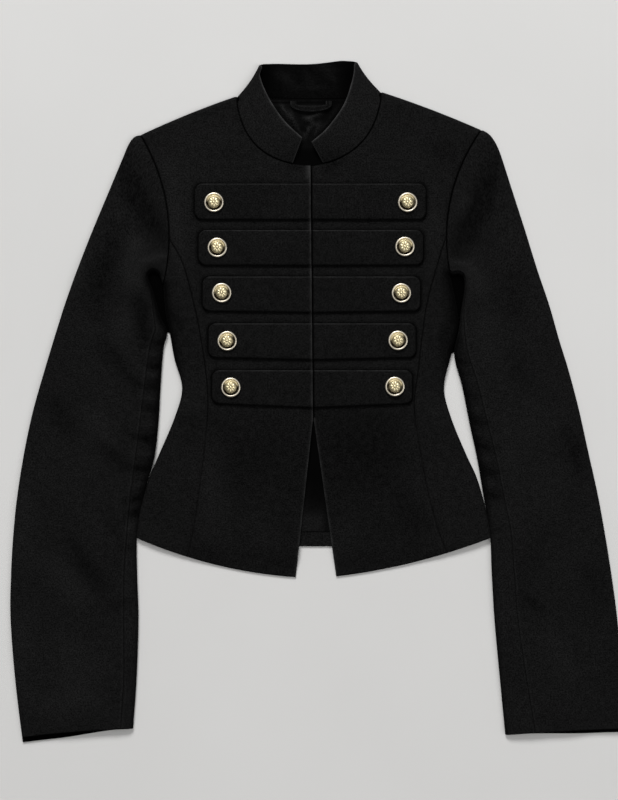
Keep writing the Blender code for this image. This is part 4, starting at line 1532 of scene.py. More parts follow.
PUCKERS = {
    Side.RIGHT: (
        Pucker(84, 26, 5, 3.6, -0.9), Pucker(71, 34, 9, 4, 1), Pucker(58, 30, 6, 3.6, -1.1),
        Pucker(47, 22, 4, 3.2, 0.8), Pucker(35, 36, 9, 4.2, -1.2), Pucker(22, 26, 5, 3.6, 0.9),
        Pucker(10, 30, 8, 3.8, -1), Pucker(-6, 24, 3, 3.4, 0.8), Pucker(-22, 40, 9, 4.6, -1.4),
        Pucker(-38, 26, 2, 3.8, 1), Pucker(-54, 36, -3, 4.4, -1.5), Pucker(-72, 22, -4, 3.6, 0.9),
        Pucker(-88, 28, -6, 4.4, -1.3), Pucker(-103, 22, -6, 5, -1.8), Pucker(-120, 24, -4, 4, 0.8),
        Pucker(-142, 26, -5, 4.2, -0.8),
    ),
    Side.LEFT: (
        Pucker(66, 20, -4, 3.4, -0.6), Pucker(48, 24, -5, 3.6, 0.6), Pucker(30, 22, -5, 3.4, -0.7),
        Pucker(14, 26, -6, 3.6, 0.7), Pucker(0, 30, -5, 3.8, -1), Pucker(-13, 24, -4, 3.4, 0.8),
        Pucker(-27, 32, -6, 4, -1.1), Pucker(-41, 22, -3, 3.4, 0.8), Pucker(-55, 30, -5, 4, -1.2),
        Pucker(-70, 24, -2, 3.6, 0.8), Pucker(-86, 26, 2, 4, -0.9), Pucker(-104, 22, 3, 4, 0.6),
        Pucker(-124, 26, 4, 4.4, -0.7),
    ),
}


class Strips(NamedTuple):
    """Points across a half sleeve, section by section: in space, on the flat cloth and from the seam."""

    points: list[Array]
    grain: list[Array]
    to_seam: list[Array]

    def add(self, points: Array, along: Array, way: float, to_seam: Array) -> None:
        """Takes up a section: points, their places across, its way down and distances to the front seam."""
        self.points.append(points)
        self.grain.append(np.stack((along, np.full_like(along, -way)), axis=-1))
        self.to_seam.append(to_seam)


@dataclass
class SleevePiece(ClothPiece):
    """A half of a two-piece sleeve that lies flat."""

    side: Side = Side.RIGHT
    sleeve_end: float = 0.985
    cap_seam_in: float = 2.5
    cap_loft: float = 7.6
    cap_roll: float = 1.7
    cap_reach: float = 10.0
    cap_groove: float = 1.0
    cap_groove_reach: float = 1.6
    seam_groove: float = 0.3
    fold_gain: float = 1.5
    seam_lap: float = 1.2
    crown: float = 1.6
    fold_radius: float = 7.0
    allowance: float = 8.0
    allowance_rise: float = 0.35
    pressed_run: float = 3.0
    below_cap: Ramp = Ramp(0.45, 0.4)
    seam_groove_reach: float = 0.9
    cuff_drop: float = 0.0
    seam_shade: float = 0.3
    seam_light_lines: float = 0.07
    light_inset: float = 1.6
    light_reach: float = 0.9
    cuff_shade: float = 0.45
    crease_light: float = 2.1
    flat_tone: float = 0.1
    pucker_start: float = 2.0
    pucker_peak: float = 0.3
    step: float = 2.2
    slack: Slack = Slack(0.8)

    def sections(self) -> tuple[list[Section], Array]:
        """Lines across the sleeve from the armhole to the cuff, and their distance down it."""
        out = np.array((self.side.out * ARMHOLE_GAP, 0.0))
        draft = DRAFTS[self.side]
        outer, inner = draft.armhole()(np.array((0.0, self.sleeve_end))) + out
        bow = draft.armhole_bow * self.sleeve_end**2
        cap = Section(*outer, *inner, bow, self.cap_seam_in, self.cap_loft)
        fine = smoothed((cap,) + SLEEVES[self.side], 16)
        way = walked((fine[:, :2] + fine[:, 2:4]) / 2)
        places = spread(way[-1], self.step)
        columns = [np.interp(places, way, column) for column in fine.T]
        return [Section(*row) for row in np.stack(columns, axis=-1)], places

    def line(self, row: Section) -> Curve:
        """The line across at one section, from the outer edge to the inner."""
        return arc((row.outer_x, row.outer_y), (row.inner_x, row.inner_y), -self.side.out * row.bow)

    def puckers(self) -> list[Crease]:
        """The wrinkles across the inner edge, as creases."""
        inner = np.array([(row.inner_y, row.inner_x) for row in reversed(SLEEVES[self.side])])
        creases = []
        for pucker in PUCKERS[self.side]:
            x = float(np.interp(pucker.y, *inner.T))
            start = (x - self.side.out * self.pucker_start, pucker.y)
            end = (x + self.side.out * pucker.reach, pucker.y + pucker.slant)
            bow = pucker.slant / 3
            creases.append(Crease(start, end, pucker.width, pucker.height, bow, self.pucker_peak))
        return creases

    def folds(self, points: Array) -> Array:
        """Height of the sleeve's creases and puckers at points of the plane."""
        return self.fold_gain * lift_of((*SLEEVE_CREASES[self.side], *self.puckers()), points)

    def lay(self, points: Array) -> Array:
        """Tone and painted light of the sleeve: lighter on the ridges of its folds, darker in their
        troughs.
        """
        return np.clip(self.folds(points) / self.crease_light + self.flat_tone, -1.0, 1.0)

    def beside_slit(self, points: Array) -> Array:
        """Painted shade on the sleeve beside the slit under the arm."""
        depth, reach = SLIT_SHADE[self.side]
        return depth * bell(nearest(points, under_arm(self.side))[0], reach)

    def level(self, points: Array, row: Section, width: float) -> Array:
        """Height of the upper face away from its folds.

        Args:
            points: Points along a section.
            row: The section.
            width: Its length.

        Returns:
            A height for each point.
        """
        inset = np.linalg.norm(points - np.array((row.outer_x, row.outer_y)), axis=-1)
        share = np.clip(inset / width, 0.0, 1.0)
        armhole = DRAFTS[self.side].armhole()(np.linspace(0.0, 1.0, OUTLINE_STEPS))
        gap, down, _ = nearest(points, armhole)
        head = self.cap_roll * bell(gap, self.cap_reach) * (1.0 - self.below_cap.at(down))
        seam = np.abs(width - row.seam_in - inset)
        pressed = self.allowance_rise * (1.0 - eased((seam - self.allowance) / self.pressed_run))
        folds = self.folds(points) + self.fold_gain * self.slack.lift(points)
        cap_groove = self.cap_groove * bell(gap, self.cap_groove_reach)
        groove = cap_groove + self.seam_groove * bell(seam, self.seam_groove_reach)
        return row.loft + self.crown * np.sin(math.pi * share) + head + pressed + folds - groove

    def finished(self, strips: "Strips", places: Array, lowest: float) -> Face:
        """The face of a half sleeve, with its edges rolled and its masks.

        Args:
            strips: What was worked out for each section.
            places: Distances of the sections down the sleeve.
            lowest: Lowest height of the inner face.

        Returns:
            The face.
        """
        points, grain, to_seam = np.array(strips.points), np.array(strips.grain), np.array(strips.to_seam)
        to_cuff = np.broadcast_to((places[-1] - places)[:, None], to_seam.shape)
        seams = np.minimum(to_seam, places[:, None])
        roll = np.maximum(rolled(seams, SEAM_ROLL), rolled(to_cuff, FREE_ROLL))
        # Painted shade along the front seam, the armhole, the cuff and beside the slit under the arm.
        shade = np.maximum.reduce([
            self.seam_shade * bell(to_seam, SEAM_SHADE),
            np.broadcast_to(bell(places, SEAM_SHADE)[:, None], to_seam.shape),
            self.cuff_shade * bell(to_cuff, EDGE_SHADE),
            self.beside_slit(points[..., :2]),
        ])
        # Faint light lines beside the front seam, in the colour of rubbed nap and painted highlight.
        worn = self.seam_light_lines * bell(to_seam - self.light_inset, self.light_reach)
        return Face(points, grain, roll, lowest, worn, shade, self.lay(points[..., :2]))


@dataclass
class SleeveUpperPiece(SleevePiece):
    """The upper sleeve, from the fold at the outer edge over to the front seam."""

    across_step: float = 2.5

    def face(self) -> Face:
        """The top of the sleeve."""
        rows, places = self.sections()
        count = round(self.cut.width / MM / self.across_step)
        strips = Strips([], [], [])
        for row, way in zip(rows, places):
            width = row.width()
            end = width - row.seam_in + SEAM_LAP / 2
            even = np.linspace(FOLD_LINES[-1], end - EDGE_LINES[-1], count)
            insets = np.concatenate((FOLD_LINES[:-1], even, end - EDGE_LINES[-2::-1]))
            points = self.line(row)(insets / width)
            rise = self.level(points, row, width) - EDGE_Z
            points = with_height(points, EDGE_Z + rise * rounded(insets, self.fold_radius))
            strips.add(points, insets, way, end - insets)
        face = self.finished(strips, places, EDGE_Z)
        return face.flipped() if self.side is Side.LEFT else face


@dataclass
class SleeveUnderPiece(SleevePiece):
    """The under sleeve, from the front seam round the fold of the inner edge, then flat below."""

    under_step: float = 5.0
    over_steps: int = 14
    over_crowding: float = 1.5
    fold_shade: float = 0.45
    fold_reach: float = 3.0
    body_shade: float = 0.3
    body_reach: float = 3.0
    beside_body_darkening: float = 0.45
    below_slit: Ramp = Ramp(104.0, -20.0)
    above_hem: Ramp = Ramp(-120.0, 40.0)
    at_cuff: Ramp = Ramp(0.9, 0.1)
    drop_slope: float = 1.4
    off_armhole: Ramp = Ramp(0.0, 10.0)
    off_fold: Ramp = Ramp(7.0, 8.0)
    inside: Ramp = Ramp(0.0, 6.0)
    cuff_inside: Ramp = Ramp(12.0, -5.0)

    def across(self, row: Section) -> tuple[Array, Array]:
        """Distances from the inner edge of the places over it, from the seam on, and of those below."""
        near = row.seam_in + SEAM_LAP / 2 - EDGE_LINES[:4]
        shares = np.linspace(1.0, 0.0, self.over_steps)
        over = np.concatenate((near[:-1], near[-1] * shares**self.over_crowding))
        flat = np.linspace(FOLD_LINES[-1], row.width(), round(self.cut.width / MM / self.under_step))
        return over, np.concatenate((FOLD_LINES[1:-1], flat))

    def strip(self, row: Section, way: float, length: float) -> Array:
        """Points across at one section: over the fold and flat below.

        Args:
            row: The section.
            way: How far down the sleeve it is.
            length: How long the sleeve is.

        Returns:
            The points.
        """
        over, under = self.across(row)
        width, middle = row.width(), row.loft / 2
        upper, lower = self.line(row)(1.0 - over / width), self.line(row)(1.0 - under / width)
        rise = self.level(upper, row, width) - middle
        upper_z = middle + rise * rounded(over, self.fold_radius)
        under_z = middle * (1.0 - rounded(under, self.fold_radius))
        drop = self.cuff_drop * self.at_cuff.at(way / length)
        lower[..., 1] -= drop * eased(self.drop_slope * under / width)
        lap = self.side.out * self.seam_lap * (1.0 - self.off_armhole.at(way))
        lower[..., 0] -= lap * self.off_fold.at(under)
        return np.vstack((with_height(upper, upper_z), with_height(lower, under_z)))

    def face(self) -> Face:
        """The strip that shows on top, the fold, and the flat underside."""
        rows, places = self.sections()
        strips, to_fold, inside = Strips([], [], []), [], []
        for row, way in zip(rows, places):
            over, under = self.across(row)
            start = row.seam_in + SEAM_LAP / 2
            to_seam = np.concatenate((start - over, start + under))
            strips.add(self.strip(row, way, places[-1]), np.concatenate((-over, under)), way, to_seam)
            to_fold.append(np.concatenate((over, under)))
            inside.append(np.concatenate((np.zeros_like(over), self.inside.at(under))))
        face = self.finished(strips, places, 0.0)
        y = face.points[..., 1]
        # Painted shade along the inner fold, darker and wider beside the body, and inside the cuff.
        by_body = self.below_slit.at(y) * self.above_hem.at(y)
        depth = self.fold_shade + self.body_shade * by_body
        reach = self.fold_reach + self.body_reach * by_body
        in_cuff = np.array(inside) * self.cuff_inside.at(places[-1] - places)[:, None]
        face.shade = np.maximum.reduce([face.shade, depth * bell(np.array(to_fold), reach), in_cuff])
        # Painted shade over the strip beside the body.
        face.lay = face.lay - self.beside_body_darkening * by_body
        return face.flipped() if self.side is Side.LEFT else face


class CollarRow(NamedTuple):
    """A place along the collar's front half: its share of the neckline and its point on the top edge."""

    share: float
    top_x: float
    top_y: float
    top_z: float


class CollarLine(NamedTuple):
    """A line up the collar where it folds or lies flat: its ends on the seam and on the top edge."""

    seam_x: float
    seam_y: float
    top_x: float
    top_y: float


COLLAR_FRONT = {
    Side.RIGHT: (
        CollarRow(0.86, -9.4, 310.2, 9.5),
        CollarRow(0.60, -27.8, 327.3, 10.6),
        CollarRow(0.36, -42.5, 347.5, 10.6),
        CollarRow(0.18, -52.4, 367, 9.8),
        CollarRow(0.06, -56.8, 380.6, 9),
    ),
    Side.LEFT: (
        CollarRow(0.905, 0.3, 305.6, 9.5),
        CollarRow(0.60, 17.2, 320.4, 10.6),
        CollarRow(0.36, 35.4, 345.5, 10.6),
        CollarRow(0.18, 44, 369, 9.8),
        CollarRow(0.06, 47.5, 384.6, 9),
    ),
}
COLLAR_FOLD = {
    Side.RIGHT: CollarLine(-81.4, 355.8, -57.2, 389.8),
    Side.LEFT: CollarLine(77.6, 360.2, 51.2, 392.8),
}
COLLAR_BACK = (
    CollarLine(-45, 353.4, -38, 392.6),
    CollarLine(0, 352.8, 0, 392.2),
    CollarLine(43, 353.2, 34, 396),
)
COLLAR_CREASES = (
    Crease((-40, 382), (-14, 366), 4, 0.7),
    Crease((-8, 386), (6, 362), 5, 0.5),
    Crease((12, 384), (30, 368), 4, 0.7, bow=2),
    Crease((-34, 364), (32, 365), 3, 0.5, bow=1.5),
    Crease((-46, 388), (-20, 376), 6, 0.7, bow=-2),
    Crease((0, 390), (32, 386), 5, 0.7),
)


@dataclass
class CollarPiece(ClothPiece):
    """The standing collar: one band, folded flat at the sides of the neck."""

    inset: float = 0.5
    seam_z: float = 7.0
    fold_radius: float = 4.0
    bulge: float = 1.3
    back_lift: float = 2.4
    waist: float = 2.2
    waist_reach: float = 22.0
    highlight_width: float = 3.6
    highlight_gain: float = 2.3
    end_highlight: float = 0.5
    end_highlight_reach: float = 1.5
    top_roll: float = 1.3
    inside_shade: float = 0.55
    corner_shade: float = 0.5
    corner_reach: float = 20.0
    foot_shade: float = 0.5
    foot_reach: float = 2.0
    seam_shade: float = 0.7
    middle_x: float = -4.0
    end_tone: tuple[float, float] = (0.55, 1.0)
    end_tone_reach: float = 24.0
    end_tone_fall: float = 0.6
    front_lay: float = 0.42
    inside_darkening: float = -0.7
    crease_light: float = 2.2
    step: float = 1.5
    up_step: float = 1.9
    fold_steps: int = 13
    smoothings: int = 3

    def front_rows(self, side: Side) -> Array:
        """Seam and top points of a front half, from its front end to the fold.

        Args:
            side: Which half it is.

        Returns:
            A row of six numbers for each place.
        """
        rows = []
        for share, *top in smoothed(COLLAR_FRONT[side], 10):
            seam = DRAFTS[side].neckline()(share)
            to_top = np.array(top[:2]) - seam
            seam = seam + to_top * self.inset / np.hypot(*to_top)
            rows.append((*seam, self.seam_z, *top))
        return np.array(rows)

    def fold_rows(self, side: Side) -> Array:
        """Seam and top points round the fold at the side of the neck, from front to back.

        Args:
            side: Which fold it is.

        Returns:
            A row of six numbers for each place.
        """
        fold = COLLAR_FOLD[side]
        seam, top = np.array(fold[:2]), np.array(fold[2:])
        along = (top - seam) / np.hypot(*(top - seam))
        outward = np.array((side.out * along[1], -side.out * along[0]))
        rows = []
        for angle in np.radians(np.linspace(90.0, -90.0, self.fold_steps)):
            shift = self.fold_radius * (math.cos(angle) - 1.0)
            z = self.fold_radius * (1.0 + math.sin(angle))
            lift = self.back_lift * (0.5 - 0.5 * math.sin(angle))
            seam_spot = seam + outward * shift
            rows.append((*seam_spot, z, top[0] + side.out * shift, top[1] + lift, z))
        return np.array(rows)

    def band(self) -> tuple[Array, Array]:
        """Seam and top points from the right front end round the back to the left, and their places."""
        back = [(*row[:2], 0.0, *row[2:], 0.0) for row in COLLAR_BACK]
        right, left = self.front_rows(Side.RIGHT), self.front_rows(Side.LEFT)[::-1]
        fold_right, fold_left = self.fold_rows(Side.RIGHT), self.fold_rows(Side.LEFT)[::-1]
        rows = np.vstack((right, fold_right, smoothed(back, 10), fold_left, left))
        way = walked((rows[:, :3] + rows[:, 3:]) / 2)
        places = spread(way[-1], self.step)
        rows = np.stack([np.interp(places, way, column) for column in rows.T], axis=-1)
        for _ in range(self.smoothings):
            rows[1:-1] = (rows[:-2] + 2 * rows[1:-1] + rows[2:]) / 4
        return rows, places

    def face(self) -> Face:
        """The band between its seam and its top edge, which lies on itself."""
        rows, places = self.band()
        height = self.cut.width / MM
        heights = spread(height, self.up_step)[:, None]
        up = heights / height
        points = rows[None, :, :3] * (1.0 - up[..., None]) + rows[None, :, 3:] * up[..., None]
        for side in Side:
            near = bell(points[0, :, 0] - COLLAR_FOLD[side].seam_x, self.waist_reach)[None, :]
            points[..., 0] -= side.out * self.waist * near * np.sin(math.pi * up)
        standing = np.clip(rows[None, :, 2] / self.seam_z, 0.0, 1.0)
        points[..., 2] += self.bulge * standing * np.sin(math.pi * up)
        points[..., 2] = np.maximum(points[..., 2], 0.0)
        ends = np.minimum(places, places[-1] - places)[None, :]
        roll = np.maximum(rolled(heights, SEAM_ROLL), rolled(height - heights, self.top_roll))
        roll = np.maximum(roll, rolled(ends, FREE_ROLL))
        grain = np.stack(np.meshgrid(places, heights[:, 0]), axis=-1)
        # Painted highlight with rubbed nap along the top edge and at the ends, where the collar stands.
        at_ends = self.end_highlight * rolled(ends, self.end_highlight_reach)
        worn = np.maximum(rolled(height - heights, self.highlight_width), at_ends) * standing
        worn = worn * self.highlight_gain * unevenness_along_edge(places)
        x = points[..., 0]
        # Painted shade inside the back of the collar, deeper at its corners and foot, and along its seam.
        corners = np.maximum(*(bell(x - COLLAR_FOLD[side].top_x, self.corner_reach) for side in Side))
        foot = self.foot_shade * bell(heights, self.foot_reach)
        inside = np.minimum(self.inside_shade + self.corner_shade * corners + foot, 1.0)
        in_seam = self.seam_shade * bell(heights, SEAM_SHADE) * standing
        shade = np.maximum(in_seam, (1.0 - standing) * inside)
        # Tone and painted light: lighter where the collar stands, darker towards its ends and inside the
        # back.
        right_tone, left_tone = self.end_tone
        by_end = np.where(x > self.middle_x, left_tone, right_tone) * bell(ends, self.end_tone_reach)
        by_end = by_end * (1.0 - self.end_tone_fall * up)
        behind = self.crease_light * lift_of(COLLAR_CREASES, points[..., :2]) + self.inside_darkening
        lay = standing * (self.front_lay - by_end) + (1.0 - standing) * behind
        return Face(points, grain, roll, 0.0, worn, shade, np.clip(lay, -1.0, 1.0))

    def sides(self, face: Face) -> tuple[Array, Array]:
        """The two sides of the band, with its inside a little creased at the back."""
        outer, inner = face.wall(self.thickness)
        flat = (1.0 - np.clip(face.points[..., 2] / 2.0, 0.0, 1.0)) * (1.0 - face.roll)
        inner[..., 2] += flat * lift_of(COLLAR_CREASES, inner[..., :2])
        return outer, inner


@dataclass
class LoopPiece(ClothPiece):
    """The band at the back of the neck to hang the jacket by."""

    centre_y: float = 347.2
    half_span: float = 19.5
    depth: float = 4.8
    band: float = 6.8
    tails: float = 3.6
    floor: float = 4.0
    edge_tone: float = 1.3
    middle_tone: float = -0.6
    edge_in: float = 1.0
    edge_reach: float = 0.8
    edge_roll: float = 0.8
    flat_half: float = 1.8
    pillow: float = 0.25
    hump: float = 0.6
    hump_x: float = 4.0
    hump_reach: float = 9.0

    def face(self) -> Face:
        """A flat band in a half ellipse with straight tails up to the seam."""
        turn = np.linspace(math.pi, 2.0 * math.pi, 60)
        tail = np.linspace(self.tails, 0.0, 8)[:-1]
        lift = np.concatenate((tail, np.zeros_like(turn), tail[::-1]))
        turn = np.concatenate((np.full_like(tail, turn[0]), turn, np.full_like(tail, turn[-1])))[None, :]
        half = self.band / 2
        flat = np.linspace(self.flat_half, -self.flat_half, 4)
        side = np.concatenate((half - EDGE_LINES[:5], flat, EDGE_LINES[4::-1] - half))[:, None]
        x = (self.half_span + side) * np.cos(turn)
        y = self.centre_y + (self.depth + side) * np.sin(turn) + lift
        points = np.stack((x, y), axis=-1)[:, ::-1]
        pillow = self.pillow * np.cos(math.pi * side / self.band)
        pillow = pillow + self.hump * bell(points[..., 0] - self.hump_x, self.hump_reach)
        z = self.floor + self.thickness + pillow
        grain = np.stack(np.broadcast_arrays(turn * self.half_span, side), axis=-1)
        roll = np.broadcast_to(rolled(half - np.abs(side), self.edge_roll), z.shape)
        # Tone: lighter along the loop's edges, darker in its middle.
        lay = self.middle_tone + self.edge_tone * bell(half - np.abs(side) - self.edge_in, self.edge_reach)
        return Face(with_height(points, z), grain, roll, self.floor, lay=lay).flipped()


class Tab(NamedTuple):
    """A tab across the front: its outer ends, its edges and how much the lower one rises outwards."""

    outer_right: float
    outer_left: float
    top: float
    bottom: float
    rise: float

    def end(self, side: Side) -> float:
        """Where the outer end is."""
        return getattr(self, f"outer_{side.value}")


TABS = (
    Tab(-127.5, 126, 259.5, 220.5, 0),
    Tab(-123.5, 123, 208.5, 170, 0.5),
    Tab(-119, 120, 157.5, 118.5, 1.5),
    Tab(-112.5, 115, 106, 66.5, 2.5),
    Tab(-108.5, 111, 54.5, 14, 4.5),
)
TAB_CORNER = 8.0
TAB_THICKNESS = 3.0
BUTTON_INSET = 19.5

# How much of its rectangle a tab with rounded corners fills.
TAB_FILL = 0.98


def tab_inset(side: Side, tab: Tab, points: Array) -> Array:
    """Distance of points in from the edge of a tab, below 0 outside it.

    Args:
        side: Which side the tab is on.
        tab: The tab.
        points: Points of the plane.

    Returns:
        A distance for each point.
    """
    length, middle = abs(tab.end(side)), (tab.top + tab.bottom) / 2
    along = points[..., 0] * side.out
    lean = tab.rise * np.clip(along / length, 0.0, 1.0) / 2
    half = (tab.top - tab.bottom) / 2 - lean
    past_end = along - (length - TAB_CORNER)
    past_edge = np.abs(points[..., 1] - middle - lean) - (half - TAB_CORNER)
    outside = np.hypot(np.maximum(past_end, 0.0), np.maximum(past_edge, 0.0))
    return TAB_CORNER - outside - np.minimum(np.maximum(past_end, past_edge), 0.0)


def button_spot(side: Side, tab: Tab) -> Spot:
    """The middle of the button on a tab."""
    return (tab.end(side) - side.out * BUTTON_INSET, (tab.top + tab.bottom + tab.rise / 2) / 2)


@dataclass
class TabPiece(ClothPiece):
    """A padded tab that lies on the front, its edges rolled and its button pressed in."""

    side: Side = Side.RIGHT
    tab: Tab = TABS[0]
    corner: float = TAB_CORNER
    edge_roll: float = 1.7
    upper_edge_highlight: float = 0.75
    lay: float = -0.25
    highlight_gain: float = 1.3
    lap_shade: float = 0.9
    lap_reach: float = 1.2
    back_meet: float = 0.6
    slack_scale: float = 1.4
    light_reach: float = 1.8
    pillow: float = 0.5
    dimple: float = 0.7
    dimple_reach: float = 13.0
    step: float = 2.0
    slack: Slack = Slack(0.35)

    def thickness_at(self, points: Array) -> Array:
        """How thick the padded tab is at points of the plane."""
        middle = (self.tab.top + self.tab.bottom) / 2
        half = (self.tab.top - self.tab.bottom) / 2
        crown = self.pillow * (1.0 - np.clip((points[..., 1] - middle) / half, -1.0, 1.0) ** 2)
        gap = np.linalg.norm(points - np.array(button_spot(self.side, self.tab)), axis=-1)
        pressed = self.dimple * bell(gap, self.dimple_reach)
        return self.thickness + crown - pressed + self.slack.lift(points * self.slack_scale)

    def top(self, points: Array) -> Array:
        """Height of the tab's face at points of the plane."""
        return DRAFTS[self.side].height(points) + LAYER_GAP + self.thickness_at(points)

    def plan(self) -> tuple[Array, Array]:
        """The tab's points in the plane, in rows from its upper edge, and their distance from its edges."""
        tab, out = self.tab, self.side.out
        edge = DRAFTS[self.side].corners
        middle = (tab.top + tab.bottom) / 2
        ends = np.array((edge.front_waist, edge.front_neck))
        inner_x = np.interp(middle, ends[:, 1], ends[:, 0])
        length, width = abs(tab.end(self.side) - inner_x), tab.top - tab.bottom
        along = spread(length, self.step)[None, :]
        down = spread(width, self.step)[:, None]
        near = self.corner - np.minimum(np.minimum(down, width - down), self.corner)
        short = self.corner - np.sqrt(self.corner**2 - near**2)
        reach = along * (1.0 - short / length)
        rise = tab.rise * reach / length * down / width
        y = np.broadcast_to(tab.top - down, reach.shape) + rise
        points = np.stack((inner_x + out * reach, y), axis=-1)
        to_end = length - short - reach
        in_corner = (near > 0.0) & (length - reach < self.corner)
        round_in = self.corner - np.hypot(near, np.maximum(self.corner - (length - reach), 0.0))
        inset = np.minimum(np.minimum(down, width - down), np.minimum(reach, to_end))
        return points, np.where(in_corner, np.minimum(inset, round_in), inset)

    def face(self) -> Face:
        """The tab's top, which rolls over at its edges."""
        points, inset = self.plan()
        roll = rolled(inset, self.edge_roll)
        lowest = DRAFTS[self.side].height(points) + LAYER_GAP
        inner_end = np.abs(points[..., 0] - points[:, :1, 0])
        upper_edge = self.tab.top - points[..., 1]
        # Painted highlight with rubbed nap along the upper edge, which faces the key light.
        upper = self.highlight_gain * self.upper_edge_highlight * unevenness_along_edge(points[..., 0]) * rolled(upper_edge, self.light_reach)
        # At the inner end, painted highlight with rubbed nap on the right tabs, painted shade on the left.
        if self.side is Side.RIGHT:
            inner = self.highlight_gain * unevenness_along_edge(points[..., 1]) * rolled(inner_end, 2 * self.light_reach)
            masks = (np.maximum(inner, upper), 0.0, self.lay)
        else:
            masks = (upper, self.lap_shade * bell(inner_end, self.lap_reach), self.lay)
        face = Face(with_height(points, self.top(points)), points[..., ::-1], roll, lowest, *masks)
        return face.flipped() if self.side is Side.RIGHT else face

    def sides(self, face: Face) -> tuple[Array, Array]:
        """The top of the tab and its flat back."""
        inner = face.points.copy()
        inner[..., 2] = face.lowest
        meet = MEET * face.roll[..., None] * (inner - face.points)
        return face.points + meet, inner - meet * self.back_meet


# Buttons and sewing.


class Ring(NamedTuple):
    """A ring of a turned profile."""

    radius: float
    z: float


class Sewn(NamedTuple):
    """How a button is sewn on: its turn in degrees and how far it is off its mark."""

    turn: float
    off_x: float
    off_y: float


